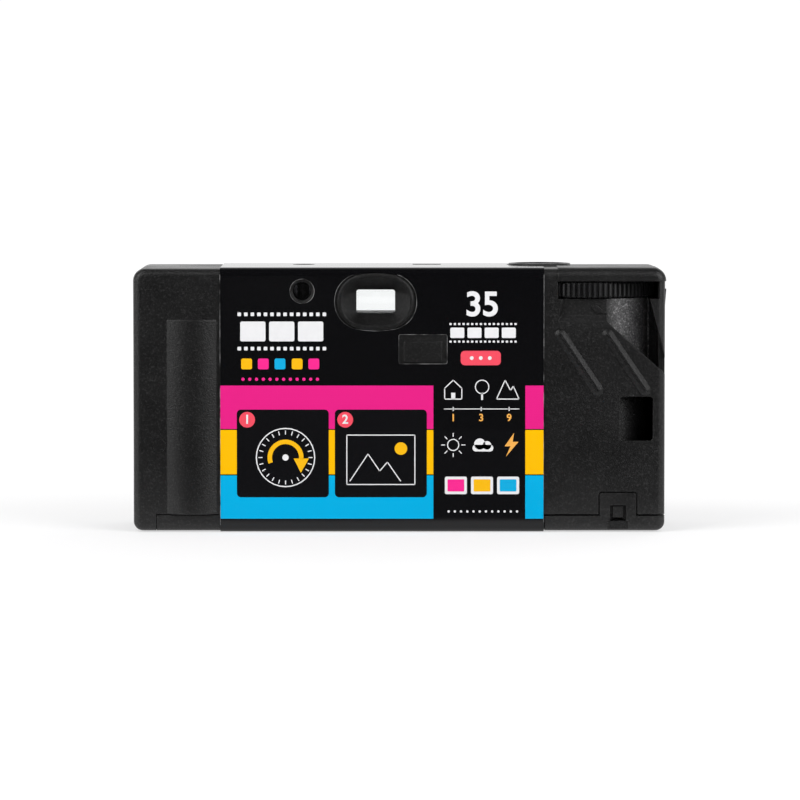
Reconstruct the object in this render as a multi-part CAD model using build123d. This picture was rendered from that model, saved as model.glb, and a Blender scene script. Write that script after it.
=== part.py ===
from build123d import *
import math
import os

# Single-use film camera with flash, in millimetres.
# The origin is on the resting surface under the middle of the body.
# +X is to the right of someone who looks at the rear, +Y is towards the lens, +Z is up.

# Shell
body_width = 118.0
rear_depth = 16.0
wall = 1.4
top_corner_r = 2.7
bottom_corner_r = 2.0
edge_r = 1.6
seam_y = -3.0
seam_gap = 0.15
strip_h = 3.5
over = 3.0
fit_gap = 0.2
run_gap = 0.05

# Printed wrap
label_t = 0.25
label_left = -39.7
label_right = 32.1

# Film and cassette
film_t = 0.16
film_w = 35.0
film_gap = 1.0
shell_r = 12.4
shell_t = 0.3
cap_lip = 0.2
cassette_ends = 9.3
cassette_play = 0.3
chamber_wall = 1.0
hub_r = 5.2
hub_proud = 3.1
core_r = 5.9
lip_reach = 12.6
roll_r = 8.6
roll_core_r = 5.0
roll_chamber_r = 10.6
roll_chamber_wall = 0.8
roll_headroom = 2.4
bulge_r = 12.3
bulge_edge = 0.3
side_gap = 1.5

# Stack from the film to the front
tunnel_len = 24.8
gate_w = 36.0
gate_h = 24.0
gate_t = 1.2
lens_x = -3.0
aperture_t = 0.2
aperture_r = 1.6
blade_t = 0.3
lens_plate_t = 1.2
lens_r = 3.8

# Stack from the floor to the top
door_pad_h = 1.95
deck_gap = 0.5
deck_t = 1.2
wheel_lift = 2.2
wheel_t = 3.3
wheel_headroom = 1.7
wheel_proud = 0.5

# Sprocket
perf_pitch = 4.75
perf_along = 1.98
perf_across = 2.8
perf_r = 0.5
perf_edge = 3.4
sprocket_teeth = 8
tooth_out = 0.55
finger_reach = 6.7
finger_gap = 0.15
finger_angle = 134.0
axle_r = 1.5

# Controls and windows
eye_x = -5.2
eye_drop = 7.3
finder_w = 9.0
finder_h = 6.2
finder_wall = 1.0
button_x = 31.6
button_y = 4.5
button_r = 5.5
button_travel = 0.9
stem_x = 26.6
stem_y = 4.9
stem_r = 0.8
collar_r = 7.0
collar_h = 0.6
lamp_x = -21.5
lamp_y = 5.0
lamp_drop = 5.0
guide_r = 2.0
counter_gear_r = 8.0
counter_teeth = 36
dial_r = 7.8
kick_x = 6.0
kick_arm = 9.4
blade_pivot_x = 4.5
blade_pivot_up = 10.5
meter_left = 7.0
meter_y = 2.0
switch_in = 11.0
switch_z = 28.0
switch_travel = 3.5
flash_in = 15.0
flash_w = 22.0
flash_h = 10.0
flash_drop = 7.5
battery_r = 7.25
battery_len = 50.5
battery_x = -2.75
battery_y = 5.0
door_w = 26.65

# Places worked out from the sizes above
half_w = body_width / 2
rear_y = -rear_depth
bottom_z = label_t
floor_z = bottom_z + wall
strip_top = bottom_z + strip_h
film_y = rear_y + wall + film_gap
cap_r = shell_r + cap_lip
cassette_len = film_w + cassette_ends
cassette_y = film_y + shell_r - shell_t
chamber_r = cap_r + cassette_play
chamber_out = chamber_r + chamber_wall
cassette_x = half_w - wall - side_gap - chamber_out
cassette_bottom = floor_z + door_pad_h + cassette_play
cassette_top = cassette_bottom + cassette_len
film_z = (cassette_bottom + cassette_top) / 2
film_bottom = film_z - film_w / 2
film_top = film_z + film_w / 2
roll_out = roll_chamber_r + roll_chamber_wall
roll_bottom = strip_top + fit_gap
roll_top = film_top + wall + roll_headroom
roll_x = -(half_w - wall - fit_gap - roll_out)
roll_y = film_y + roll_r
deck_z = cassette_top + deck_gap
deck_top = deck_z + deck_t
wheel_z = deck_top + wheel_lift
wheel_top = wheel_z + wheel_t
ceiling_z = wheel_top + wheel_headroom
top_z = ceiling_z + wall
wheel_r = cassette_y - rear_y + wheel_proud
tunnel_front = film_y + tunnel_len
aperture_front = tunnel_front + aperture_t
blade_y = aperture_front + fit_gap
kick_y = blade_y + blade_t / 2 - kick_arm
lens_plate_y = blade_y + blade_t + 2 * fit_gap
lens_plate_front = lens_plate_y + lens_plate_t
front_in = lens_plate_front + 2 * fit_gap
front_y = front_in + wall
pitch_r = sprocket_teeth * perf_pitch / (2 * math.pi)
sprocket_y = film_y + pitch_r
sprocket_reach = chamber_out + pitch_r + tooth_out + 3 * fit_gap
sprocket_x = cassette_x - math.sqrt(sprocket_reach ** 2 - (cassette_y - sprocket_y) ** 2)
counter_reach = counter_gear_r + finger_gap + finger_reach
counter_x = sprocket_x + counter_reach * math.cos(math.radians(finger_angle))
counter_y = sprocket_y + counter_reach * math.sin(math.radians(finger_angle))
meter_x = sprocket_x - meter_left
door_left = half_w - door_w
switch_x = -half_w + switch_in
flash_x = -half_w + flash_in
sprocket_z = film_top - perf_edge
eye_z = top_z - eye_drop
lamp_z = top_z - lamp_drop
flash_z = top_z - flash_drop
gate_front = film_y + film_gap / 2 + gate_t
blade_pivot_z = film_z + blade_pivot_up
battery_z = floor_z + fit_gap + battery_r


def block(x0, x1, y0, y1, z0, z1):
    """A rectangular block between two corners."""
    return Pos((x0 + x1) / 2, (y0 + y1) / 2, (z0 + z1) / 2) * Box(x1 - x0, y1 - y0, z1 - z0)


def post(x, y, z0, z1, radius):
    """An upright round post."""
    return Pos(x, y, (z0 + z1) / 2) * Cylinder(radius, z1 - z0)


def tube(x, y, z0, z1, outer, inner):
    """An upright tube."""
    return post(x, y, z0, z1, outer) - post(x, y, z0 - over, z1 + over, inner)


def rod(x, z, y0, y1, radius):
    """A round rod that lies along the depth of the camera."""
    return Pos(x, (y0 + y1) / 2, z) * Rot(90, 0, 0) * Cylinder(radius, y1 - y0)


def prism_y(drawing, y0, y1):
    """A front-view drawing, x across and z up, carried from one depth to another."""
    return extrude(Plane.XZ.offset(-y1) * drawing, y1 - y0)


def prism_x(drawing, x0, x1):
    """A side-view drawing, y across and z up, carried from one side to another."""
    return extrude(Plane.YZ.offset(x0) * drawing, x1 - x0)


def prism_z(drawing, z0, z1):
    """A plan drawing carried from one height to another."""
    return extrude(Plane.XY.offset(z0) * drawing, z1 - z0)


def rect(x0, x1, z0, z1):
    """A rectangle between two corners of a drawing."""
    return Pos((x0 + x1) / 2, (z0 + z1) / 2) * Rectangle(x1 - x0, z1 - z0)


def outline(*points):
    """A closed face with straight sides."""
    return make_face(Polyline(*points, close=True))


def gear_face(teeth, root, tip, root_share, tip_share):
    """A toothed outline: each tooth is a trapezoid that takes its shares of the pitch."""
    pitch = 2 * math.pi / teeth
    points = []
    for n in range(teeth):
        middle = n * pitch
        for radius, turn in (
            (root, -root_share / 2),
            (tip, -tip_share / 2),
            (tip, tip_share / 2),
            (root, root_share / 2),
        ):
            angle = middle + turn * pitch
            points.append((radius * math.cos(angle), radius * math.sin(angle)))
    return outline(*points)


def coil_spring(x, y, z0, z1, radius, wire_r, turns):
    """A thin wire coil that stands upright."""
    height = z1 - z0 - 2 * wire_r
    path = Helix(height / turns, height, radius)
    start = path @ 0
    section = Plane(origin=start, z_dir=path % 0) * RegularPolygon(wire_r, coil_sides)
    return Pos(x, y, z0 + wire_r) * sweep(section, path=path)


def front_view(inset):
    """The body seen from the front, drawn in by an inset."""
    face = rect(-half_w + inset, half_w - inset, bottom_z + inset, top_z - inset)
    face = fillet(face.vertices().group_by(Axis.Y)[-1], top_corner_r - inset)
    return fillet(face.vertices().group_by(Axis.Y)[0], bottom_corner_r - inset)


def body_form(inset):
    """The closed form of the body, with its front and rear edges rounded off."""
    form = prism_y(front_view(inset), rear_y + inset, front_y - inset)
    ends = form.faces().sort_by(Axis.Y)
    return fillet(ends[0].edges() + ends[-1].edges(), edge_r - inset)


def hollow_body():
    """The whole skin of the body, before it is parted into covers and door."""
    return body_form(0) - body_form(wall)


# Back cover: eyepiece
eye_w = 17.0
eye_h = 12.6
eye_corner = 6.0
eye_bow_share = 0.19
eye_rim = 0.9
eye_proud = 0.7
sight_w = 8.6
sight_h = 5.2
sight_corner = 0.6
funnel_corner = 4.5
funnel_depth = 2.8
lamp_rim_r = 2.7
lamp_bevel = 0.3

# Back cover: hood, wheel slot, thumb recess and grip ribs
hood_w = 23.8
hood_proud = 0.25
slot_reach = 7.0
slot_side = 1.3
slot_room = 0.3
facet_reach = 5.9
facet_half = 3.8
facet_drop = 3.95
facet_depth = 1.1
facet_bevel = 0.9
facet_sill = 1.4
facet_wall = 0.8
valley_depth = 10.5
valley_turn_in = 3.5
valley_turn_drop = 13.8
valley_exit_low = 17.0
valley_exit_high = 13.4
valley_exit_depth = 2.5
valley_top_in = 3.4
valley_wall = 1.0
rib_w = 1.3
rib_h = 0.7
rib_taper = 20.0
rib_len = 16.3
rib_angle = -56.0
rib_pitch = 10.5
rib_left = 2.4
rib_drop = 14.4

# Back cover: window beside the cassette, indicator pad, snap for the door
side_window_w = 7.3
side_window_h = 9.8
side_window_in = 2.7
side_window_z = 25.2
side_window_r = 0.75
pad_x = 5.3
pad_z = 40.05
pad_w = 8.6
pad_h = 4.7
pad_proud = 0.35
pad_corner = 0.4
pad_window_w = 10.7
pad_window_h = 6.5
pad_window_z = 40.65
snap_in = 10.4
snap_x = half_w - snap_in
snap_w = 8.1
snap_top = 8.7
snap_t = 1.1
snap_corner = 0.5
snap_gap = 0.28
snap_window_w = 3.6
snap_window_h = 3.5
snap_window_z = 4.2
hook_w = 2.3
hook_h = 3.1
hook_proud = 1.25
hook_bevel = 0.6
hook_back = 1.4
nail_side = 0.5
nail_depth = 0.5
corner_in = 5.0
corner_left = -half_w + corner_in
side_snap_z = 51.5
side_snap_h = 4.8
side_snap_out = 0.35


def valley_face():
    """The thumb recess round the cassette chamber, from the wheel slot to the right side."""
    top = wheel_z - slot_room
    mid = cassette_x + facet_half
    low = wheel_z - facet_drop - facet_sill
    turn = (half_w - valley_turn_in, wheel_z - valley_turn_drop)
    exit_low = wheel_z - valley_exit_low
    exit_high = wheel_z - valley_exit_high
    edges = [
        Line((mid, top), (mid, low)),
        Line((mid, low), turn),
        TangentArc(turn, (half_w, exit_low), tangent=(turn[0] - mid, turn[1] - low)),
        Line((half_w, exit_low), (half_w + over, exit_low)),
        Line((half_w + over, exit_low), (half_w + over, exit_high)),
        Line((half_w + over, exit_high), (half_w, exit_high)),
        Line((half_w, exit_high), (half_w - valley_top_in, top)),
        Line((half_w - valley_top_in, top), (mid, top)),
    ]
    return make_face(edges)


def facet_cutter():
    """The flat part of the recess, with a bevel on its left and lower sides."""
    top = wheel_z
    right = cassette_x + facet_half
    outer_left = cassette_x - facet_reach
    foot_left = cassette_x - slot_reach
    low = wheel_z - facet_drop
    outer = outline(
        (outer_left, top),
        (foot_left, low - facet_sill),
        (right, low - facet_sill),
        (right, top),
    )
    inner = outline(
        (outer_left + facet_bevel, top),
        (foot_left + facet_bevel, low),
        (right, low),
        (right, top),
    )
    skin = Plane.XZ.offset(-rear_y)
    seat = Plane.XZ.offset(-(rear_y + facet_depth))
    return loft([skin * outer, seat * inner])


def facet_pad():
    """Material behind the facet, so that the skin keeps a wall there."""
    left = cassette_x - slot_reach - valley_wall
    right = cassette_x + facet_half + valley_wall
    low = wheel_z - facet_drop - facet_sill - valley_wall
    inner = rear_y + facet_depth + facet_wall
    return block(left, right, rear_y + wall / 2, inner, low, wheel_z - slot_room)


def valley_liner():
    """The walls and floor of the valley, before its hollow is cut."""
    face = offset(valley_face(), valley_wall)
    floor_y = rear_y + valley_depth
    liner = prism_y(face, rear_y + wall / 2, floor_y + valley_wall)
    top = block(0, half_w, rear_y, floor_y + over, 0, wheel_z - slot_room)
    return liner & body_form(0) & top


def valley_cutter():
    """The hollow of the valley, which leaves the round of the cassette chamber standing."""
    hollow = prism_y(valley_face(), rear_y - over, rear_y + valley_depth)
    side_wall = block(half_w - wall, half_w + over, rear_y + valley_exit_depth, seam_y, 0, top_z)
    return hollow - side_wall - post(cassette_x, cassette_y, 0, top_z, chamber_out)


def cassette_chamber_half():
    """The rear half of the round chamber that holds the cassette."""
    ring = post(cassette_x, cassette_y, strip_top + fit_gap, wheel_z - fit_gap, chamber_out)
    lip_depth = cassette_y - film_y + shell_t + fit_gap
    lip_end = cassette_x - math.sqrt(chamber_r ** 2 - lip_depth ** 2)
    rear = block(lip_end, half_w, rear_y, seam_y - fit_gap, 0, top_z)
    return ring & rear


def roll_bulge():
    """The low round bulge over the film roll, with the hollow that it gives inside."""
    z0 = roll_bottom - fit_gap / 2
    z1 = roll_top - fit_gap / 2
    bulge = post(roll_x, roll_y, z0, z1, bulge_r)
    skin = block(-half_w, 0, rear_y - over, rear_y + wall, z0, z1)
    hollow = post(roll_x, roll_y, z0 + wall, z1 - wall, bulge_r - wall)
    rim = [e for e in bulge.edges() if e.geom_type == GeomType.CIRCLE]
    return fillet(rim, bulge_edge) & skin, hollow


def grip_ribs():
    """Two slanted ribs with sloping flanks that give the thumb a hold."""
    ribs = Part()
    skin = Plane.XZ.offset(-(rear_y + fit_gap))
    for n in range(2):
        rib_x = cassette_x - rib_left + n * rib_pitch
        place = Pos(rib_x, wheel_z - rib_drop) * Rot(0, 0, rib_angle)
        ribs += extrude(skin * place * SlotOverall(rib_len, rib_w), fit_gap + rib_h, taper=rib_taper)
    return ribs


def bowed_face(width, height, corner):
    """A soft rectangle: four bowed sides with rounded corners."""
    x = width / 2 * (1 - eye_bow_share)
    z = height / 2 * (1 - eye_bow_share)
    sides = [
        ThreePointArc((-x, z), (0, height / 2), (x, z)),
        ThreePointArc((x, z), (width / 2, 0), (x, -z)),
        ThreePointArc((x, -z), (0, -height / 2), (-x, -z)),
        ThreePointArc((-x, -z), (-width / 2, 0), (-x, z)),
    ]
    face = make_face(sides)
    return fillet(face.vertices(), corner)


def hood():
    """The raised cap over the wheel slot, which runs round the top and the right side."""
    left = half_w - hood_w
    front = seam_y - seam_gap / 2
    zone = block(left, half_w + over, rear_y - over, front, wheel_top + slot_room, top_z + over)
    return (body_form(-hood_proud) - body_form(wall)) & zone


def eyepiece_boss():
    """The raised oval that the eye is put to."""
    oval = bowed_face(eye_w, eye_h, eye_corner)
    boss = prism_y(Pos(eye_x, eye_z) * oval, rear_y - eye_proud, rear_y + wall)
    rim = boss.faces().sort_by(Axis.Y)[0].edges()
    return fillet(rim, eye_proud / 2)


def eyepiece_funnel():
    """The hollow that narrows from the oval to the sight window, which goes right through."""
    place = Pos(eye_x, eye_z)
    mouth = Plane.XZ.offset(-(rear_y - eye_proud)) * place
    throat = Plane.XZ.offset(-(rear_y - eye_proud + funnel_depth)) * place
    wide = bowed_face(eye_w - 2 * eye_rim, eye_h - 2 * eye_rim, funnel_corner)
    narrow = RectangleRounded(sight_w, sight_h, sight_corner)
    through = prism_y(place * narrow, rear_y - over, rear_y + over)
    return loft([mouth * wide, throat * narrow]) + through


def eyepiece_seat():
    """The block inside the cover that the funnel is cut into."""
    width = finder_w + 2 * finder_wall
    height = finder_h + 2 * finder_wall
    seat = Pos(eye_x, eye_z) * Rectangle(width, height)
    return prism_y(seat, rear_y + wall / 2, rear_y - eye_proud + funnel_depth + wall / 2)


def indicator_pad():
    """The raised pad that shows through the label under the finder."""
    pad = Pos(pad_x, pad_z) * RectangleRounded(pad_w, pad_h, pad_corner)
    pad = prism_y(pad, rear_y - pad_proud, rear_y + wall / 2)
    rim = pad.faces().sort_by(Axis.Y)[0].edges()
    return chamfer(rim, pad_proud / 2)


def snap_notch():
    """Room in the rear wall for the spring tongue of the film door."""
    top = snap_top + snap_gap
    face = Pos(snap_x, top / 2) * Rectangle(snap_w + 2 * snap_gap, top)
    face = fillet(face.vertices().group_by(Axis.Y)[-1], snap_corner + snap_gap)
    return prism_y(face, rear_y - over, rear_y + snap_t)


def lamp_countersink():
    """The small bevel round the hole of the ready light."""
    wide = guide_r + run_gap + lamp_bevel
    cone = Cone(wide, guide_r + run_gap, lamp_bevel)
    return Pos(lamp_x, rear_y + lamp_bevel / 2, lamp_z) * Rot(-90, 0, 0) * cone


def snap_hook():
    """The wall behind the tongue, with the wedge that the tongue's window catches on."""
    half = snap_w / 2 + wall
    back_y = rear_y + wall + fit_gap
    low = snap_window_z - snap_window_h / 2
    back = block(snap_x - half, snap_x + half, back_y, back_y + hook_back, low, snap_top + wall)
    z0 = snap_window_z - hook_h / 2
    z1 = snap_window_z + hook_h / 2
    tip_y = back_y - hook_proud
    wedge = outline((back_y, z0), (tip_y, z0 + hook_bevel), (tip_y, z1), (back_y, z1))
    return back + prism_x(wedge, snap_x - hook_w / 2, snap_x + hook_w / 2)


def side_snap():
    """The low wedge on the right side where the covers snap together."""
    z0 = side_snap_z - side_snap_h / 2
    z1 = side_snap_z + side_snap_h / 2
    wedge = outline((half_w - wall, z0), (half_w, z0), (half_w + side_snap_out, z1), (half_w - wall, z1))
    return prism_y(wedge, rear_y + 2 * edge_r, seam_y - wall)


def back_cover():
    """The rear shell, with the eyepiece, the wheel slot, the thumb recess and half a chamber."""
    rear = block(-half_w - over, half_w + over, rear_y - over, seam_y - seam_gap / 2, 0, top_z + over)
    cover = hollow_body() & rear
    bulge, bulge_hollow = roll_bulge()
    cover += valley_liner() + facet_pad() + cassette_chamber_half()
    cover += bulge
    cover += hood()
    cover += eyepiece_boss() + eyepiece_seat() + indicator_pad() + grip_ribs() + side_snap()
    strip_gap = strip_top + fit_gap
    cover -= block(corner_left, half_w + over, rear_y - over, over, -over, strip_gap)
    cover -= facet_cutter()
    cover -= valley_cutter()
    cover -= bulge_hollow
    cover -= eyepiece_funnel()
    cover -= rod(lamp_x, lamp_z, rear_y - over, rear_y + over, guide_r + run_gap)
    cover -= lamp_countersink()
    slot = block(
        cassette_x - slot_reach,
        half_w - slot_side,
        rear_y - over,
        rear_y + 2 * wall,
        wheel_z - slot_room,
        wheel_top + slot_room,
    )
    cover -= slot
    pocket_z = (wheel_z - slot_room, wheel_top + slot_room)
    cover -= post(cassette_x, cassette_y, *pocket_z, wheel_r + fit_gap)
    window = RectangleRounded(side_window_w, side_window_h, side_window_r)
    window_x = half_w - side_window_in - side_window_w / 2
    cover -= prism_y(Pos(window_x, side_window_z) * window, rear_y - over, rear_y + wall)
    cover -= snap_notch()
    cover += snap_hook()
    cover -= post(cassette_x, cassette_y, 0, wheel_z, chamber_r)
    return cover


# Front cover, button collar and windows
lens_hole_r = 6.0
finder_front_w = 12.4
finder_front_h = 9.4
finder_rim = 0.7
finder_lens_t = 1.4
dial_mark_r = 6.0
dial_mark_angle = 155.0
counter_window_x = counter_x + dial_mark_r * math.cos(math.radians(dial_mark_angle))
counter_window_y = counter_y + dial_mark_r * math.sin(math.radians(dial_mark_angle))
counter_window_w = 6.4
counter_window_d = 4.4
counter_rim = 0.8
counter_window_t = 0.8
lamp_top_r = 2.5
flash_rim = 0.7
flash_window_t = 1.0
switch_slot_w = 2.8
switch_neck_w = 2.4
switch_neck_h = 3.2
switch_plate_w = 6.0
switch_plate_t = 0.6
switch_knob_w = 5.0
switch_knob_h = 7.0
switch_knob_t = 1.5
switch_ribs = 4
pivot_socket_r = 2.6
pivot_r = 1.5
pivot_len = 1.2
saddle_xs_share = (0.18, 0.82)
saddle_t = 1.4
saddle_h = 3.6
hinge_r = wall / 2
hinge_back = 0.95
lip_end_y = 10.6


def front_bottom():
    """The bottom strip that runs to the rear and turns up behind the back cover's edge."""
    left = corner_left + seam_gap
    right = door_left - seam_gap
    strip = block(left, right, rear_y - over, seam_y + wall, 0, strip_top)
    return hollow_body() & strip


def battery_saddles():
    """Two upright ribs on the floor that cradle the battery."""
    ribs = Part()
    for share in saddle_xs_share:
        x = battery_x - battery_len / 2 + share * battery_len
        ribs += block(x - saddle_t / 2, x + saddle_t / 2, seam_y, front_in, floor_z, floor_z + saddle_h)
    cell = Pos(battery_x, battery_y, battery_z) * Rot(0, 90, 0)
    return ribs - cell * Cylinder(battery_r + fit_gap / 2, battery_len)


def button_collar():
    """The raised ring round the shutter button."""
    ring = post(button_x, button_y, ceiling_z, top_z + collar_h, collar_r)
    rim = ring.edges().filter_by(GeomType.CIRCLE).sort_by(Axis.Z)[-1]
    return fillet(rim, collar_h / 2)


def front_cover():
    """The front shell with the top, the bottom strip and every opening of the front."""
    front = block(-half_w - over, half_w + over, seam_y + seam_gap / 2, front_y + over, 0, top_z + over)
    cover = (hollow_body() & front) + front_bottom() + battery_saddles() + button_collar()
    cover += tube(cassette_x, cassette_y, wheel_top + fit_gap, ceiling_z, pivot_socket_r, pivot_r + run_gap)
    cover -= block(door_left - seam_gap, half_w + over, rear_y - over, lip_end_y + seam_gap, 0, strip_top)
    cover -= block(door_left - seam_gap, half_w - wall, rear_y - over, front_in, 0, strip_top)
    cover -= rod(lens_x, film_z, front_in - over, front_y + over, lens_hole_r)
    finder = Pos(eye_x, eye_z) * Rectangle(finder_front_w - 2 * finder_rim, finder_front_h - 2 * finder_rim)
    cover -= prism_y(finder, front_in - over, front_y + over)
    finder_seat = Pos(eye_x, eye_z) * Rectangle(finder_front_w + fit_gap, finder_front_h + fit_gap)
    cover -= prism_y(finder_seat, front_in - over, front_in + wall / 2)
    flash = Pos(flash_x, flash_z) * RectangleRounded(flash_w, flash_h, flash_rim)
    cover -= prism_y(flash, front_in - over, front_y + over)
    cover -= post(button_x, button_y, ceiling_z - over, top_z + over, button_r + fit_gap)
    cover -= post(lamp_x, lamp_y, ceiling_z - over, top_z + over, lamp_top_r)
    counter = Pos(counter_window_x, counter_window_y)
    opening = RectangleRounded(counter_window_w, counter_window_d, counter_rim)
    cover -= prism_z(counter * opening, ceiling_z - over, top_z + over)
    slot_h = switch_neck_h + switch_travel + fit_gap
    slot_z = switch_z - switch_neck_h / 2 - fit_gap / 2 + slot_h / 2
    slot = Pos(switch_x, slot_z) * RectangleRounded(switch_slot_w, slot_h, fit_gap / 2)
    cover -= prism_y(slot, front_in - over, front_y + over)
    return cover


def film_door():
    """The bottom door under the cassette, with its spring tongue and its hinge edge."""
    hinge_y = front_in - hinge_back
    hinge_z = bottom_z + hinge_r
    room = block(door_left, half_w + over, rear_y - over, hinge_y, 0, strip_top - seam_gap)
    door = hollow_body() & room
    door -= block(half_w - wall - over, half_w + over, lip_end_y, front_y, floor_z, top_z)
    inner_right = half_w - wall - fit_gap
    edge = Pos((door_left + inner_right) / 2, hinge_y, hinge_z) * Rot(0, 90, 0)
    door += edge * Cylinder(hinge_r, inner_right - door_left)
    door -= block(inner_right, half_w + over, lip_end_y, front_y, 0, top_z)
    tongue = Pos(snap_x, snap_top / 2) * Rectangle(snap_w, snap_top)
    tongue = fillet(tongue.vertices().group_by(Axis.Y)[-1], snap_corner)
    tongue = prism_y(tongue, rear_y, rear_y + snap_t)
    door += tongue - block(-half_w, half_w, rear_y - over, over, 0, bottom_z + bottom_corner_r)
    window = Pos(snap_x, snap_window_z) * Rectangle(snap_window_w, snap_window_h)
    door -= prism_y(window, rear_y - over, rear_y + wall + fit_gap)
    low = snap_window_z - snap_window_h / 2
    half = snap_window_w / 2 + nail_side
    door -= block(snap_x - half, snap_x + half, rear_y - over, rear_y + nail_depth, 0, low)
    pad = tube(cassette_x, cassette_y, floor_z, floor_z + door_pad_h, hub_r + 2 * wall, hub_r + wall)
    return door + pad


def wrap_label():
    """The printed band round the middle of the camera, with its cut-outs."""
    outer = rect(rear_y - label_t, front_y + label_t, 0, top_z + label_t)
    outer = fillet(outer.vertices(), edge_r + label_t)
    inner = rect(rear_y, front_y, bottom_z, top_z)
    inner = fillet(inner.vertices(), edge_r - run_gap)
    band = prism_x(outer - inner, label_left, label_right)
    eye = bowed_face(eye_w + 6 * fit_gap, eye_h + 2 * fit_gap, eye_corner)
    band -= prism_y(Pos(eye_x, eye_z) * eye, rear_y - over, rear_y + wall)
    band -= rod(lamp_x, lamp_z, rear_y - over, rear_y + wall, lamp_rim_r)
    pad_cut = Pos(pad_x, pad_window_z) * RectangleRounded(pad_window_w, pad_window_h, pad_corner)
    band -= prism_y(pad_cut, rear_y - over, rear_y + wall)
    band -= post(button_x, button_y, ceiling_z, top_z + over, collar_r + 2 * fit_gap)
    band -= post(lamp_x, lamp_y, ceiling_z, top_z + over, lamp_top_r + run_gap)
    counter = RectangleRounded(counter_window_w, counter_window_d, counter_rim)
    band -= prism_z(Pos(counter_window_x, counter_window_y) * counter, ceiling_z, top_z + over)
    band -= rod(lens_x, film_z, front_in, front_y + over, lens_ring_r + 2 * fit_gap)
    finder = Pos(eye_x, eye_z) * RectangleRounded(finder_front_w, finder_front_h, finder_rim)
    band -= prism_y(finder, front_in, front_y + over)
    flash_right = flash_x + flash_w / 2 + wall
    flash_low = flash_z - flash_h / 2 - wall
    band -= block(label_left - over, flash_right, front_in, front_y + over, flash_low, eye_z + eye_h / 2)
    return band


# Main frame: plates, chambers and mechanism
deck_left = eye_x + finder_front_w / 2 + 2 * fit_gap
plate_left = roll_x + roll_r + 2 * fit_gap
plate_lap = 1.7
plate_right = cassette_x - chamber_out + plate_lap
tunnel_wall = 1.1
tunnel_out_w = 16.0
tunnel_out_h = 14.0
front_plate_t = 1.2
front_plate_w = 26.0
front_plate_drop = 8.5
front_plate_rise = 14.0
shelf_drop = 4.9
shelf_t = 1.2
shelf_front = 4.0
shelf_right = 12.0
wheel_seat_r = 7.5
deck_front = 11.8
bracket_w = 3.5
post_r = 1.2
pawl_x = 24.0
pawl_y = 10.2
pawl_t = 0.9
pawl_angle = 140.0
bearing_drop = 2.8
bearing_t = 1.4
sprocket_room = 0.5
sprocket_w = 2.4


def light_tunnel():
    """The tapered box that keeps stray light off the film, with its front wall."""
    rear_plane = Plane.XZ.offset(-gate_front) * Pos(lens_x, film_z)
    front_plane = Plane.XZ.offset(-tunnel_front) * Pos(lens_x, film_z)
    inner_plane = Plane.XZ.offset(-(tunnel_front - front_plate_t)) * Pos(lens_x, film_z)
    side = 2 * tunnel_wall
    outer = loft([
        rear_plane * Rectangle(gate_w + side, gate_h + side),
        front_plane * Rectangle(tunnel_out_w, tunnel_out_h),
    ])
    inner = loft([
        rear_plane * Rectangle(gate_w, gate_h),
        inner_plane * Rectangle(tunnel_out_w - side, tunnel_out_h - side),
    ])
    return outer - inner


def film_plate():
    """The flat plate that the film slides over, with the picture gate and its two rails."""
    back = film_y + film_gap / 2
    low = film_bottom - wall
    high = film_top + wall / 2
    plate = block(plate_left, plate_right, back, gate_front, low, high)
    for z in (film_top - perf_edge / 2, film_bottom + perf_edge / 2):
        plate += block(
            lens_x - gate_w / 2, lens_x + gate_w / 2, film_y + film_gap / 4, back, z - wall / 2, z
        )
    gate = Pos(lens_x, film_z) * RectangleRounded(gate_w, gate_h, perf_r)
    return plate - prism_y(gate, rear_y, gate_front + over)


def roll_chamber():
    """The round chamber for the supply roll, open behind, with a floor and a roof."""
    z0 = roll_bottom
    z1 = roll_top
    shell = post(roll_x, roll_y, z0, z1, roll_out)
    shell -= post(roll_x, roll_y, z0 + wall, z1 - wall, roll_chamber_r)
    shell &= block(-half_w, 0, film_y + film_gap / 2, front_in, z0, z1)
    return shell - post(roll_x, roll_y, 0, top_z, pivot_r + run_gap)


def cassette_chamber_front():
    """The front half of the cassette chamber, carried round to where the film comes in."""
    z0 = cassette_bottom
    ring = tube(cassette_x, cassette_y, z0, deck_z, chamber_out, chamber_r)
    front = block(0, half_w, seam_y + fit_gap, front_y, z0, deck_z)
    left = block(0, cassette_x - lip_reach + 2 * wall, gate_front, front_y, z0, deck_z)
    return ring & (front + left)


def deck():
    """The shelf over the chambers that the winding parts turn on, with the wheel's seat."""
    right = cassette_x + chamber_out
    plate = block(deck_left, cassette_x, gate_front, deck_front, deck_z, deck_top)
    plate += post(cassette_x, cassette_y, deck_z, deck_top, chamber_r - fit_gap)
    plate += tube(
        cassette_x, cassette_y, deck_top - fit_gap, wheel_z - fit_gap, wheel_seat_r, hub_r + 2 * fit_gap
    )
    plate -= block(deck_left - over, right, rear_y, rear_y + wall + film_gap / 2, deck_z, deck_top)
    plate -= post(cassette_x, cassette_y, deck_z - over, wheel_z, hub_r + 2 * fit_gap)
    plate -= post(sprocket_x, sprocket_y, deck_z - over, deck_top + over, axle_r + run_gap)
    plate -= post(stem_x, stem_y, deck_z - over, deck_top + over, stem_r + fit_gap)
    plate += post(counter_x, counter_y, deck_z, ceiling_z - 2 * fit_gap, post_r)
    plate += post(meter_x, meter_y, deck_z, deck_top + wall / 2, post_r)
    return plate


def pawl():
    """The springy arm that stops the wheel from turning back."""
    angle = math.radians(pawl_angle)
    reach = wheel_r + fit_gap
    tip = (cassette_x + reach * math.cos(angle), cassette_y + reach * math.sin(angle))
    arm = offset(Line((pawl_x, pawl_y), (tip[0] - pawl_t / 2, tip[1] + pawl_t / 2)), pawl_t / 2)
    arm = prism_z(make_face(arm), wheel_z + fit_gap, wheel_top - fit_gap)
    return post(pawl_x, pawl_y, deck_z, wheel_top - fit_gap, post_r) + arm


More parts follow.
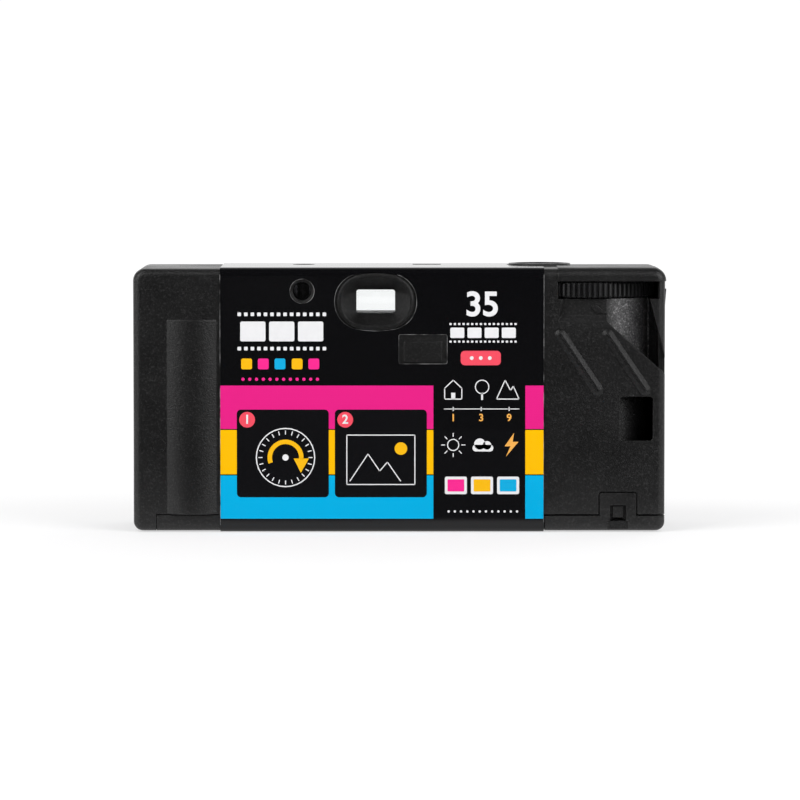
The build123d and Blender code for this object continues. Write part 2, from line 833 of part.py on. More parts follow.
def front_plate():
    """The plate round the lens that the shutter lies on, with the blade's pin."""
    x0 = lens_x - front_plate_w / 2
    x1 = lens_x + front_plate_w / 2
    z0 = film_z - front_plate_drop
    z1 = film_z + front_plate_rise
    plate = prism_y(rect(x0, x1, z0, z1), tunnel_front - front_plate_t, tunnel_front)
    plate += rod(blade_pivot_x, blade_pivot_z, tunnel_front, lens_plate_y + fit_gap, stem_r)
    plate += block(
        spring_peg_x - hub_wall, spring_peg_x - run_gap, tunnel_front - front_plate_t, blade_y, z1, spring_z
    )
    seat = rod(lens_x, film_z, tunnel_front - front_plate_t - over, tunnel_front, lens_r)
    return plate - seat


def main_frame():
    """The black inner frame that everything is built on."""
    frame = film_plate() + light_tunnel() + roll_chamber() + cassette_chamber_front()
    frame += front_plate() + deck() + pawl()
    web_top = deck_z + deck_t / 2
    back = film_y + film_gap / 2
    frame += block(cassette_x - chamber_out, plate_right, back, gate_front, film_bottom, web_top)
    shelf_z = film_top - shelf_drop / 4
    frame += block(deck_left, shelf_right, gate_front - gate_t, shelf_front, shelf_z - shelf_t, shelf_z)
    frame += post(kick_x, kick_y, shelf_z - shelf_t, deck_z + deck_t / 2, post_r)
    finder_low = eye_z - finder_h / 2 - finder_wall - run_gap
    frame += block(eye_x - bracket_w, eye_x + bracket_w, back, gate_front, film_top, finder_low)
    lamp_left = lamp_x - bracket_w
    lamp_right = lamp_x + bracket_w
    frame += block(lamp_left, lamp_right, back, gate_front, film_top, ceiling_z - fit_gap)
    frame -= rod(lamp_x, lamp_z, rear_y, gate_front + over, guide_r + run_gap)
    room = pitch_r + sprocket_room
    half = sprocket_w / 2 + sprocket_room
    frame -= block(
        sprocket_x - room, sprocket_x + room, rear_y, gate_front + over, sprocket_z - half, sprocket_z + half
    )
    bearing_z = sprocket_z - bearing_drop
    bearing = block(
        sprocket_x - bracket_w,
        sprocket_x + bracket_w / 2,
        gate_front - gate_t,
        sprocket_y + bracket_w,
        bearing_z - bearing_t,
        bearing_z,
    )
    frame += bearing
    frame -= post(sprocket_x, sprocket_y, bearing_z - bearing_t, bearing_z + over, axle_r + run_gap)
    frame -= post(cassette_x, cassette_y, cassette_bottom - over, deck_z, chamber_r)
    return frame


# Optics and shutter
lens_collar_r = 5.4
lens_t = 2.0
lens_dish_r = 9.0
lens_ring_r = 11.2
lens_ring_top_r = 9.6
lens_ring_hole_r = 3.3
lens_ring_out = 1.9
blade_disc_r = 3.2
blade_arm_w = 2.0
blade_tail = 8.0
blade_boss_r = 1.9
kick_arm_w = 2.2
kick_t = 1.4
kick_finger_w = 1.2
kick_finger_drop = 0.8
kick_gap = 0.95
latch_reach = 16.0
hub_wall = 1.0
blade_room = 0.05
spring_wire_r = 0.2
kick_turns = 3
coil_sides = 6
blade_turns = 4
blade_spring_r = 0.8
spring_peg_x = -4.5
spring_z = film_z + front_plate_rise + blade_spring_r + 3 * fit_gap


def aperture_plate():
    """The thin blackened disc that sets the size of the lens opening."""
    width = 2 * lens_collar_r
    plate = RectangleRounded(width, width, lens_t / 2) - Circle(aperture_r)
    return prism_y(Pos(lens_x, film_z) * plate, tunnel_front, aperture_front)


def shutter_blade():
    """The sprung leaf that swings aside to let light through for a moment."""
    pivot = (blade_pivot_x, blade_pivot_z)
    disc = Pos(lens_x, film_z) * Circle(blade_disc_r)
    boss = Pos(*pivot) * Circle(blade_boss_r)
    dx = lens_x - blade_pivot_x
    dz = film_z - blade_pivot_z
    length = math.hypot(dx, dz)
    turn = math.degrees(math.atan2(dz, dx))
    arm = Pos(pivot[0] + dx / 2, pivot[1] + dz / 2) * Rot(0, 0, turn) * Rectangle(length, blade_arm_w)
    tail_w = blade_arm_w - 2 * fit_gap
    tail = Pos(pivot[0], pivot[1] + blade_tail / 2) * Rectangle(tail_w, blade_tail)
    leaf = disc + boss + arm + tail - Pos(*pivot) * Circle(stem_r + blade_room)
    return prism_y(leaf, blade_y, blade_y + blade_t)


def kick_lever():
    """The lever that is cocked by winding, and that knocks the blade open when let go."""
    z0 = film_top + fit_gap * 2
    z1 = z0 + kick_t
    finger_y = blade_y + blade_t / 2
    finger_x = blade_pivot_x + (blade_arm_w - 2 * fit_gap) / 2 + kick_gap
    arm = outline(
        (kick_x - kick_arm_w / 2, kick_y),
        (kick_x + kick_arm_w / 2, kick_y),
        (finger_x + kick_finger_w / 2, finger_y),
        (finger_x - kick_finger_w / 2, finger_y),
    )
    latch = outline(
        (kick_x, kick_y - kick_arm_w / 2),
        (kick_x + latch_reach, kick_y + kick_arm_w / 2),
        (kick_x + latch_reach, kick_y + kick_arm_w),
        (kick_x, kick_y + kick_arm_w / 2),
    )
    lever = prism_z(arm + latch + Pos(kick_x, kick_y) * Circle(post_r + hub_wall), z0, z1)
    reach = kick_finger_w / 2 + blade_t
    lever += block(
        finger_x - kick_finger_w / 2,
        finger_x + kick_finger_w / 2,
        finger_y - reach,
        finger_y + reach,
        z0 - kick_finger_drop,
        z1,
    )
    return lever - post(kick_x, kick_y, z0 - over, z1 + over, post_r + run_gap)


def kick_spring():
    """The coil round the kick lever's post."""
    z0 = film_top + 2 * fit_gap + kick_t + run_gap
    return coil_spring(
        kick_x, kick_y, z0, deck_z - run_gap, post_r + hub_wall / 2, spring_wire_r, kick_turns
    )


def blade_spring():
    """The small coil that pushes the blade shut, from its peg to the blade's tail."""
    right = blade_pivot_x - blade_arm_w / 2 - fit_gap
    coil = coil_spring(0, 0, spring_peg_x, right, blade_spring_r, spring_wire_r, blade_turns)
    return Pos(0, blade_y + blade_t / 2, spring_z) * Rot(0, 90, 0) * coil


def lens_plate():
    """The cover over the shutter, with the collar that holds the lens."""
    x0 = lens_x - front_plate_w / 2
    x1 = lens_x + front_plate_w / 2
    z0 = film_z - front_plate_drop
    z1 = film_z + front_plate_rise
    plate = prism_y(rect(x0, x1, z0, z1), lens_plate_y, lens_plate_front)
    plate += rod(lens_x, film_z, lens_plate_front, front_y - fit_gap, lens_collar_r)
    plate -= rod(lens_x, film_z, lens_plate_front, front_y + over, lens_r + run_gap)
    plate -= rod(lens_x, film_z, lens_plate_y - over, front_y, lens_r - wall / 2)
    plate -= rod(
        blade_pivot_x, blade_pivot_z, lens_plate_y - over, lens_plate_front + over, stem_r + fit_gap
    )
    for x in (x0 + wall, x1 - wall):
        plate += rod(x, z0 + wall, tunnel_front, lens_plate_y, hub_wall)
        plate += rod(x, z1 - wall, tunnel_front, lens_plate_y, hub_wall)
    return plate


def lens():
    """The single moulded meniscus lens."""
    body = rod(lens_x, film_z, lens_plate_front, lens_plate_front + lens_t, lens_r)
    front = Pos(lens_x, lens_plate_front + lens_t - lens_dish_r, film_z) * Sphere(lens_dish_r)
    back = Pos(lens_x, lens_plate_front - lens_dish_r + lens_t / 5, film_z) * Sphere(lens_dish_r)
    return (body & front) - back


def lens_ring():
    """The round bezel in front of the lens, with a stepped cone inside."""
    step = lens_ring_out / 3
    hole = lens_ring_hole_r
    profile = outline(
        (hole, 0),
        (lens_ring_r, 0),
        (lens_ring_r, step),
        (lens_ring_top_r, lens_ring_out),
        (lens_ring_top_r - wall, lens_ring_out),
        (lens_ring_top_r - 2 * wall, 2 * step),
        (lens_collar_r, 2 * step),
        (hole + wall / 2, step),
        (hole, step),
    )
    ring = revolve(Plane.XZ * profile, Axis.Z)
    turned = Rot(-90, 0, 0) * ring
    return Pos(lens_x, front_y, film_z) * turned


def finder_tunnel():
    """The black tube between the two finder lenses."""
    outer = Rectangle(finder_w + 2 * finder_wall, finder_h + 2 * finder_wall)
    front = front_in - finder_lens_t - fit_gap
    frame = Pos(eye_x, eye_z) * (outer - Rectangle(finder_w, finder_h))
    rear = rear_y - eye_proud + funnel_depth + wall / 2 + run_gap
    return prism_y(frame, rear, front)


def eyepiece_lens():
    """The small clear plate behind the eyepiece."""
    face = Pos(eye_x, eye_z) * Rectangle(finder_w - 2 * run_gap, finder_h - 2 * run_gap)
    rear = rear_y - eye_proud + funnel_depth + wall
    return prism_y(face, rear, rear + lens_plate_t)


def finder_front_lens():
    """The hollow-faced clear lens in the front window of the finder."""
    face = Pos(eye_x, eye_z) * Rectangle(finder_front_w, finder_front_h)
    lens = prism_y(face, front_in - finder_lens_t, front_in + wall / 2)
    dish = lens_dish_r + finder_front_w
    hollow = Pos(eye_x, front_in + wall / 2 + dish - finder_rim, eye_z) * Sphere(dish)
    return lens - hollow


# Winding train
wheel_teeth = 80
tooth_h = 0.8
tooth_root_share = 0.62
tooth_tip_share = 0.3
tooth_bevel = 0.35
wheel_web = 1.6
wheel_rim = 2.2
fork_r = 3.6
fork_slot = 1.3
fork_len = 3.4
key_t = 1.0
spool_flange = 0.8
tooth_along = 1.3
tooth_wide = 1.8
cam_r = 4.5
cam_t = 0.7
cam_notch = 1.2
finger_w = 1.2
gear_t = 0.7
gear_h = 1.0
dial_t = 1.0
meter_w = 1.4
meter_t = 0.7
meter_nose = 0.6
meter_gap = 1.95


def thumbwheel():
    """The milled wheel under the thumb, with its top pivot and the fork that turns the spool."""
    rim = gear_face(wheel_teeth, wheel_r - tooth_h, wheel_r, tooth_root_share, tooth_tip_share)
    blank = post(cassette_x, cassette_y, wheel_z, wheel_top, wheel_r)
    blank = chamfer(blank.edges().filter_by(GeomType.CIRCLE), tooth_bevel)
    wheel = Pos(cassette_x, cassette_y, 0) * prism_z(rim, wheel_z, wheel_top) & blank
    hollow_z = wheel_z + wheel_web
    hollow = post(cassette_x, cassette_y, hollow_z, wheel_top + over, wheel_r - tooth_h - wheel_rim)
    boss = post(cassette_x, cassette_y, wheel_z, wheel_top, pivot_socket_r)
    wheel = wheel - hollow + boss
    wheel += post(cassette_x, cassette_y, wheel_top, wheel_top + fit_gap + pivot_len, pivot_r)
    fork = post(cassette_x, cassette_y, wheel_z - fork_len, wheel_z, fork_r)
    slot = block(
        cassette_x - fork_slot / 2,
        cassette_x + fork_slot / 2,
        cassette_y - fork_r,
        cassette_y + fork_r,
        wheel_z - fork_len,
        wheel_z - fork_len / 4,
    )
    return wheel + (fork - slot)


def cassette_spool():
    """The spool in the cassette, with a bar across its hub that the fork takes hold of."""
    top = cassette_top + hub_proud
    spool = post(cassette_x, cassette_y, cassette_bottom + spool_flange, cassette_top - spool_flange, core_r)
    spool += post(cassette_x, cassette_y, cassette_bottom - fit_gap, top, hub_r)
    spool -= post(cassette_x, cassette_y, wheel_z - fork_len - fit_gap, top + over, fork_r + fit_gap)
    spool -= post(
        cassette_x, cassette_y, cassette_bottom - over, cassette_bottom + hub_proud, fork_r + fit_gap
    )
    bar = block(
        cassette_x - key_t / 2,
        cassette_x + key_t / 2,
        cassette_y - fork_r - 2 * fit_gap,
        cassette_y + fork_r + 2 * fit_gap,
        wheel_z - fork_len - fit_gap,
        wheel_z - fork_len / 2,
    )
    return spool + bar


def cassette_shell():
    """The rolled metal can of the film cassette, with the flat lips that the film leaves by."""
    z0 = cassette_bottom + 2 * shell_t
    z1 = cassette_top - 2 * shell_t
    can = tube(cassette_x, cassette_y, z0, z1, shell_r, shell_r - shell_t)
    left = cassette_x - lip_reach
    mouth_front = film_y + shell_t
    can -= block(left, cassette_x - wall, film_y - shell_t, film_y + shell_t, z0, z1)
    joint = cassette_x - wall / 2
    rear_lip = block(left, joint, cassette_y - shell_r, film_y - fit_gap / 2, z0, z1)
    inside = cassette_x - math.sqrt(shell_r ** 2 - (cassette_y - mouth_front) ** 2)
    front_lip = block(left, inside + shell_t, film_y + fit_gap / 2, film_y + fit_gap / 2 + shell_t, z0, z1)
    return can + rear_lip + front_lip


def cassette_caps():
    """The two pressed end caps of the cassette, each with a rolled rim."""
    caps = []
    for end, way in ((cassette_bottom, 1), (cassette_top, -1)):
        rim = end + way * 3 * shell_t
        disc = post(cassette_x, cassette_y, min(end, rim), max(end, rim), cap_r)
        face = end + way * 2 * shell_t
        cup = post(cassette_x, cassette_y, min(face, rim), max(face, rim), shell_r + run_gap)
        disc -= cup
        disc -= post(cassette_x, cassette_y, 0, top_z, hub_r + fit_gap)
        lip = block(cassette_x - cap_r, cassette_x, rear_y, film_y + shell_r, min(face, rim), max(face, rim))
        slot = block(
            cassette_x - cap_r, cassette_x, rear_y, film_y + 2 * shell_t, min(face, rim), max(face, rim)
        )
        caps.append(disc - (slot & lip))
    return Compound(children=caps)


def film_strip():
    """The stretch of film between the roll and the cassette, with its two rows of holes."""
    left = roll_x
    right = cassette_x - shell_r / 3
    face = rect(left, right, film_bottom, film_top)
    hole = RectangleRounded(perf_along, perf_across, perf_r)
    first = math.ceil((left - sprocket_x) / perf_pitch + 0.5)
    last = math.floor((right - sprocket_x) / perf_pitch - 0.5)
    holes = []
    for n in range(first, last + 1):
        for z in (film_bottom + perf_edge, film_top - perf_edge):
            holes.append(Pos(sprocket_x + n * perf_pitch, z) * hole)
    return prism_y(face - holes, film_y - film_t / 2, film_y + film_t / 2)


def film_roll():
    """The film that has not been exposed yet, wound on the supply spool."""
    return tube(roll_x, roll_y, film_bottom, film_top, roll_r - film_t / 2, roll_core_r + run_gap / 2)


def supply_spool():
    """The slotted core that the film was wound on, with a pivot at each end."""
    z0 = film_bottom - wall / 2
    z1 = film_top + wall / 2
    core = tube(roll_x, roll_y, z0, z1, roll_core_r, roll_core_r - wall)
    for z in (z0, z1 - wall):
        core += post(roll_x, roll_y, z, z + wall, roll_core_r)
    core += post(roll_x, roll_y, roll_bottom + fit_gap, roll_top - fit_gap, pivot_r)
    slot = block(
        roll_x, roll_x + roll_core_r + over, roll_y - film_t, roll_y + film_t, z0 + 2 * wall, z1 - 2 * wall
    )
    return core - slot


def sprocket():
    """The toothed roller that the film turns, on its long shaft."""
    body = post(
        sprocket_x, sprocket_y, sprocket_z - sprocket_w / 2, sprocket_z + sprocket_w / 2, pitch_r - film_t
    )
    for n in range(sprocket_teeth):
        angle = -90 + n * 360 / sprocket_teeth
        base = pitch_r - film_t * 2
        tip = pitch_r + tooth_out
        profile = outline(
            (base, -tooth_along / 2),
            (tip, -tooth_along / 4),
            (tip, tooth_along / 4),
            (base, tooth_along / 2),
        )
        tooth = prism_z(profile, sprocket_z - tooth_wide / 2, sprocket_z + tooth_wide / 2)
        body += Pos(sprocket_x, sprocket_y, 0) * Rot(0, 0, angle) * tooth
    low = sprocket_z - bearing_drop - bearing_t
    body += post(sprocket_x, sprocket_y, low, deck_top + fit_gap + 2 * cam_t, axle_r)
    return body


def metering_cam():
    """The notched disc on the sprocket's shaft that counts one picture a turn."""
    z0 = deck_top + fit_gap
    disc = Circle(cam_r) - Pos(0, -cam_r) * Rectangle(cam_notch * 2, cam_notch)
    cam = prism_z(disc, z0, z0 + cam_t)
    tip = finger_reach
    finger = outline((0, -finger_w), (tip, -finger_w / 4), (tip, finger_w / 4), (0, finger_w))
    arm = prism_z(Rot(0, 0, finger_angle) * finger, z0 + cam_t, z0 + cam_t + gear_t)
    cam += arm + post(0, 0, z0 + cam_t, z0 + cam_t + gear_t, axle_r + hub_wall)
    cam -= post(0, 0, z0 - over, z0 + 2 * cam_t + over, axle_r)
    return Pos(sprocket_x, sprocket_y, 0) * cam


def counter_wheel():
    """The toothed wheel of the frame counter, with the dial plate above it."""
    z0 = deck_top + fit_gap + cam_t
    turn = finger_angle + 180
    half_pitch = 180 / counter_teeth
    face = gear_face(counter_teeth, counter_gear_r - gear_h, counter_gear_r, 0.7, 0.3)
    gear = prism_z(Rot(0, 0, turn + half_pitch) * face, z0, z0 + gear_t)
    dial_z = ceiling_z - 3 * fit_gap - dial_t
    gear += post(0, 0, z0, dial_z + dial_t, post_r + wall)
    gear += post(0, 0, dial_z, dial_z + dial_t, dial_r)
    gear -= post(0, 0, z0 - over, top_z, post_r + run_gap)
    return Pos(counter_x, counter_y, 0) * gear


def metering_lever():
    """The lever whose nose stops the wheel after each picture."""
    z0 = deck_top + fit_gap / 2
    nose_x = sprocket_x - cam_r - meter_gap
    nose_y = sprocket_y
    arm = outline(
        (meter_x - meter_w / 2, meter_y),
        (meter_x + meter_w / 2, meter_y),
        (nose_x, nose_y + meter_nose),
        (nose_x + meter_nose, nose_y),
        (nose_x, nose_y - meter_nose),
        (nose_x - meter_w, nose_y - meter_nose),
    )
    lever = prism_z(arm + Pos(meter_x, meter_y) * Circle(post_r + hub_wall), z0, z0 + meter_t)
    return lever - post(meter_x, meter_y, z0 - over, z0 + over, post_r + run_gap)


# Button
flange_t = 0.45
flange_r = 6.4
dish_r = 3.0
dish_depth = 0.4
button_proud = 0.35
button_turns = 4


def shutter_button():
    """The round button in its collar, with a dish on top and a stem down to the levers."""
    top = top_z + button_proud
    button = post(button_x, button_y, ceiling_z - run_gap * 2, top, button_r)
    rim = button.edges().filter_by(GeomType.CIRCLE).sort_by(Axis.Z)[-1]
    button = fillet(rim, button_proud)
    sphere_r = (dish_r ** 2 + dish_depth ** 2) / (2 * dish_depth)
    button -= Pos(button_x, button_y, top - dish_depth + sphere_r) * Sphere(sphere_r)
    flange_top = ceiling_z - run_gap * 2
    button += post(button_x, button_y, flange_top - flange_t, flange_top, flange_r)
    stem_low = deck_z - 2 * stem_r - button_travel
    return button + post(stem_x, stem_y, stem_low, flange_top, stem_r)


def button_spring():
    """The coil round the stem that lifts the button again."""
    z1 = ceiling_z - run_gap * 2 - flange_t - run_gap
    return coil_spring(
        stem_x, stem_y, deck_top + run_gap, z1, stem_r + 2 * fit_gap, spring_wire_r, button_turns
    )


# Flash and battery
reflector_t = 0.4
reflector_depth = 4.0
tube_r = 1.1
board_t = 1.0
board_in = 2.5
board_left = -half_w + board_in
board_right = -18.0
board_low = 18.0
board_high = 44.0
capacitor_x = -27.5
capacitor_r = 4.2
capacitor_h = 26.0
transformer_x = -37.0
transformer_z = 24.0
transformer_w = 7.0
transformer_h = 8.0
transformer_d = 3.6
contact_t = 0.3
contact_w = 2.0
nub_r = 2.75
nub_len = 1.2
lamp_bulb_r = 1.6
lamp_bulb_h = 4.5
guide_post_r = 2.2


def flash_window():
    """The clear ribbed window of the flash."""
    side = 2 * flash_rim
    plate = Pos(flash_x, flash_z) * RectangleRounded(flash_w + side, flash_h + side, flash_rim)
    window = prism_y(plate, front_in - flash_window_t, front_in)
    inset = Pos(flash_x, flash_z) * RectangleRounded(flash_w - fit_gap, flash_h - fit_gap, flash_rim)
    window += prism_y(inset, front_in, front_y - fit_gap)
    return window


def flash_reflector():
    """The bright curved trough behind the flash tube."""
    mouth = front_in - flash_window_t - fit_gap
    back = mouth - reflector_depth
    half = flash_h / 2 - reflector_t
    outer = [
        ThreePointArc((mouth, flash_z + half), (back, flash_z), (mouth, flash_z - half)),
        Line((mouth, flash_z - half), (mouth, flash_z + half)),
    ]
    inner_half = half - reflector_t
    inner = [
        ThreePointArc(
            (mouth, flash_z + inner_half), (back + reflector_t, flash_z), (mouth, flash_z - inner_half)
        ),
        Line((mouth, flash_z - inner_half), (mouth, flash_z + inner_half)),
    ]
    x0 = flash_x - flash_w / 2
    x1 = flash_x + flash_w / 2
    body = prism_x(make_face(outer), x0, x1)
    hollow = prism_x(make_face(inner), x0 + reflector_t, x1 - reflector_t)
    place = Pos(flash_x, back + 2 * tube_r, flash_z) * Rot(0, 90, 0)
    cut = place * Cylinder(tube_r + run_gap, flash_w + over)
    return body - hollow - cut


def flash_tube():
    """The glass discharge tube that runs along the reflector."""
    back = front_in - flash_window_t - fit_gap - reflector_depth
    place = Pos(flash_x, back + 2 * tube_r, flash_z) * Rot(0, 90, 0)
    return place * Cylinder(tube_r, flash_w + wall)


def flash_board():
    """The circuit board of the flash, with the feet of its parts."""
    y1 = front_in - 3 * fit_gap - switch_plate_t
    board = block(board_left, board_right, y1 - board_t, y1, board_low, board_high)
    for x in (board_left + wall, board_right - wall):
        board -= rod(x, board_low + wall, y1 - over, y1 + over, hub_wall / 2)
    return board


def flash_capacitor():
    """The upright can that stores the charge for the flash."""
    y = board_rear() - capacitor_r - run_gap
    z0 = board_low + wall
    can = post(capacitor_x, y, z0, z0 + capacitor_h, capacitor_r)
    ends = can.edges().filter_by(GeomType.CIRCLE)
    return fillet(ends, reflector_t)


def board_rear():
    """The depth of the rear face of the flash board."""
    return front_in - 3 * fit_gap - switch_plate_t - board_t


def flash_transformer():
    """The small wound transformer on the board."""
    y1 = board_rear()
    x0 = transformer_x - transformer_w / 2
    x1 = transformer_x + transformer_w / 2
    z0 = transformer_z - transformer_h / 2
    z1 = transformer_z + transformer_h / 2
    core = block(x0, x1, y1 - transformer_d, y1, z0, z1)
    waist = transformer_d / 4
    core -= block(
        x0 - over, x1 + over, y1 - transformer_d - over, y1 - transformer_d + waist, z0 + wall, z1 - wall
    )
    return core


def trigger_contacts():
    """Two springy leaves beside the shutter that fire the flash."""
    leaves = []
    y0 = board_rear() + board_t
    for z in (board_high - 2 * wall, board_high - wall):
        leaf = block(board_right - wall, lens_x - 2 * wall, y0, y0 + contact_w / 2, z, z + contact_t)
        leaves.append(leaf)
    return Compound(children=leaves)


def light_guide():
    """The clear rod that carries the ready light to the rear and to the top."""
    guide = rod(lamp_x, lamp_z, rear_y + 3 * fit_gap, lamp_y, guide_r)
    return guide + post(lamp_x, lamp_y, lamp_z - guide_post_r, top_z - 2 * fit_gap, guide_post_r)


def ready_lamp():
    """The small neon lamp under the light guide."""
    z1 = lamp_z - guide_post_r - run_gap
    bulb = post(lamp_x, lamp_y, z1 - lamp_bulb_h, z1, lamp_bulb_r)
    rim = bulb.edges().filter_by(GeomType.CIRCLE).sort_by(Axis.Z)[-1]
    return fillet(rim, lamp_bulb_r / 2)


def battery():
    """One AA cell that lies across the camera under the light tunnel."""
    place = Pos(battery_x, battery_y, battery_z) * Rot(0, 90, 0)
    can = place * Cylinder(battery_r, battery_len - 2 * nub_len)
    nub = place * Cylinder(nub_r, battery_len)
    left = battery_x - battery_len / 2
    return can + nub - block(
        left, left + nub_len, battery_y - battery_r, battery_y + battery_r, 0, 3 * battery_r
    )


def battery_contacts():
    """The two bent contact strips at the ends of the battery."""
    strips = []
    half = battery_len / 2
    width = nub_r + wall
    for side in (-1, 1):
        end = battery_x + side * (half + contact_t / 2 + run_gap)
        if side < 0:
            end += nub_len
        x0 = end - contact_t / 2
        plate = block(
            x0, x0 + contact_t, battery_y - width, battery_y + width, floor_z, battery_z + battery_r
        )
        strips.append(plate)
    return Compound(children=strips)


def counter_window():
    """The clear pane over the frame counter."""
    place = Pos(counter_window_x, counter_window_y)
    seat = RectangleRounded(
        counter_window_w + 2 * counter_rim, counter_window_d + 2 * counter_rim, counter_rim
    )
    pane = prism_z(place * seat, ceiling_z - counter_window_t / 2, ceiling_z)
    top = RectangleRounded(counter_window_w - fit_gap / 2, counter_window_d - fit_gap / 2, counter_rim)
    return pane + prism_z(place * top, ceiling_z, top_z - fit_gap)


def flash_switch():
    """The slide on the front that charges the flash, with its ribbed knob."""
    y0 = front_in - fit_gap - switch_plate_t
    plate_h = switch_neck_h + 2 * wall
    plate = block(
        switch_x - switch_plate_w / 2,
        switch_x + switch_plate_w / 2,
        y0,
        y0 + switch_plate_t,
        switch_z - plate_h / 2,
        switch_z + plate_h / 2,
    )
    half = switch_neck_w / 2
    neck = block(
        switch_x - half,
        switch_x + half,
        y0,
        front_y + fit_gap,
        switch_z - switch_neck_h / 2,
        switch_z + switch_neck_h / 2,
    )
    knob = Pos(switch_x, switch_z) * RectangleRounded(switch_knob_w, switch_knob_h, flash_rim)
    knob = prism_y(knob, front_y + fit_gap / 2, front_y + switch_knob_t)
    pitch = switch_knob_h / (switch_ribs + 1)
    for n in range(switch_ribs):
        z = switch_z - switch_knob_h / 2 + (n + 1) * pitch
        y = front_y + switch_knob_t
        groove = Pos(switch_x, y, z) * Rot(0, 90, 0) * Cylinder(pitch / 4, switch_knob_w + over)
        knob -= groove
    return plate + neck + knob


PARTS = {
    "back_cover": back_cover,
    "front_cover": front_cover,
    "film_door": film_door,
    "wrap_label": wrap_label,
    "main_frame": main_frame,
    "aperture_plate": aperture_plate,
    "shutter_blade": shutter_blade,
    "kick_lever": kick_lever,
    "kick_spring": kick_spring,
    "blade_spring": blade_spring,
    "lens_plate": lens_plate,
    "lens": lens,
    "lens_ring": lens_ring,
    "finder_tunnel": finder_tunnel,
    "eyepiece_lens": eyepiece_lens,
    "finder_front_lens": finder_front_lens,
    "thumbwheel": thumbwheel,
    "cassette_spool": cassette_spool,
    "cassette_shell": cassette_shell,
    "cassette_caps": cassette_caps,
    "film_strip": film_strip,
    "film_roll": film_roll,
    "supply_spool": supply_spool,
    "sprocket": sprocket,
    "metering_cam": metering_cam,
    "counter_wheel": counter_wheel,
    "counter_window": counter_window,
    "metering_lever": metering_lever,
    "shutter_button": shutter_button,
    "button_spring": button_spring,
    "flash_window": flash_window,
    "flash_reflector": flash_reflector,
    "flash_tube": flash_tube,
    "flash_board": flash_board,
    "flash_capacitor": flash_capacitor,
    "flash_transformer": flash_transformer,
    "trigger_contacts": trigger_contacts,
    "light_guide": light_guide,
    "ready_lamp": ready_lamp,
    "flash_switch": flash_switch,
    "battery": battery,
    "battery_contacts": battery_contacts,
}

os.makedirs("parts", exist_ok=True)
for node, make in PARTS.items():
    export_step(make(), os.path.join("parts", node + ".step"))
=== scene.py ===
import math
import bpy
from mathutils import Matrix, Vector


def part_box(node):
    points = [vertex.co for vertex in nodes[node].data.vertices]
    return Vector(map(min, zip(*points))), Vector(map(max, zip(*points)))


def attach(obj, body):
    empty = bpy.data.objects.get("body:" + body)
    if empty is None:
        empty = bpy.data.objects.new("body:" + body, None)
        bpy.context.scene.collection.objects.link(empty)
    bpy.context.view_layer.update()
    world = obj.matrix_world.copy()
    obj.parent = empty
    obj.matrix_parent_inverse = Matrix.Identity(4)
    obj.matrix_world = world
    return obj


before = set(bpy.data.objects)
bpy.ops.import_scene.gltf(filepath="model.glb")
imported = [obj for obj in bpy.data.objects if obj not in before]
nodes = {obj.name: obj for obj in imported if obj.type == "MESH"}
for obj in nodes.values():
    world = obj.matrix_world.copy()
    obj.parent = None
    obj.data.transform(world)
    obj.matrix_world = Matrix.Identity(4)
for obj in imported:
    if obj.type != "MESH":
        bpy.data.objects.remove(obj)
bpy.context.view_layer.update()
mm = 0.001


# The photographer's place
# A long lens looks level at the rear of the camera, from a little above its middle,
# so that only a thin line of the top shows.
distance = 1100 * mm
tilt = math.radians(3.5)
aim = (0.2 * mm, -16.5 * mm, 29.4 * mm)
bpy.ops.object.select_all(action="DESELECT")
bpy.ops.object.camera_add(
    location=(aim[0], aim[1] - distance * math.cos(tilt), aim[2] + distance * math.sin(tilt)),
    rotation=(math.pi / 2 - tilt, 0, 0),
)
lens_view = bpy.context.object
lens_view.data.lens = 223.3
lens_view.data.sensor_width = 36
lens_view.data.clip_start = 0.05
lens_view.data.clip_end = 20
bpy.context.scene.camera = lens_view
bpy.context.scene.view_settings.view_transform = "Standard"


# The table and the white paper behind it
# A pale sheet of paper lies on the table and runs up behind the object in one sweep,
# so that there is no horizon. It keeps the soft shadow under the object.
def spread(tree, source, low, high, least, greatest):
    node = tree.nodes.new("ShaderNodeMapRange")
    node.inputs["From Min"].default_value = low
    node.inputs["From Max"].default_value = high
    node.inputs["To Min"].default_value = least
    node.inputs["To Max"].default_value = greatest
    tree.links.new(source, node.inputs["Value"])
    return node.outputs["Result"]


paper_side = 6
paper_rise = 4
sweep_radius = 1.2
rear_edge = 2.9
shadow_near, shadow_far = 60 * mm, 260 * mm
bpy.ops.object.select_all(action="DESELECT")
bpy.ops.mesh.primitive_plane_add(size=paper_side, location=(0, 0, -0.05 * mm))
paper = bpy.context.object
paper.name = "paper_sweep"
bpy.ops.object.transform_apply(location=True, rotation=True, scale=True)
bpy.ops.object.mode_set(mode="EDIT")
bpy.ops.mesh.select_mode(type="EDGE")
bpy.ops.mesh.select_all(action="DESELECT")
bpy.ops.object.mode_set(mode="OBJECT")
for edge in paper.data.edges:
    edge.select = all(paper.data.vertices[v].co.y > rear_edge for v in edge.vertices)
bpy.ops.object.mode_set(mode="EDIT")
bpy.ops.mesh.extrude_region_move(TRANSFORM_OT_translate={"value": (0, 0, paper_rise)})
bpy.ops.mesh.select_mode(type="EDGE")
bpy.ops.object.mode_set(mode="OBJECT")
for edge in paper.data.edges:
    ends = [paper.data.vertices[v].co for v in edge.vertices]
    edge.select = all(end.y > rear_edge and end.z < 0.1 for end in ends)
bpy.ops.object.mode_set(mode="EDIT")
bpy.ops.mesh.bevel(affect="EDGES", offset=sweep_radius, segments=24)
bpy.ops.object.mode_set(mode="OBJECT")
bpy.ops.object.shade_smooth()
paper_white = bpy.data.materials.new("white_paper")
paper_white.use_nodes = True
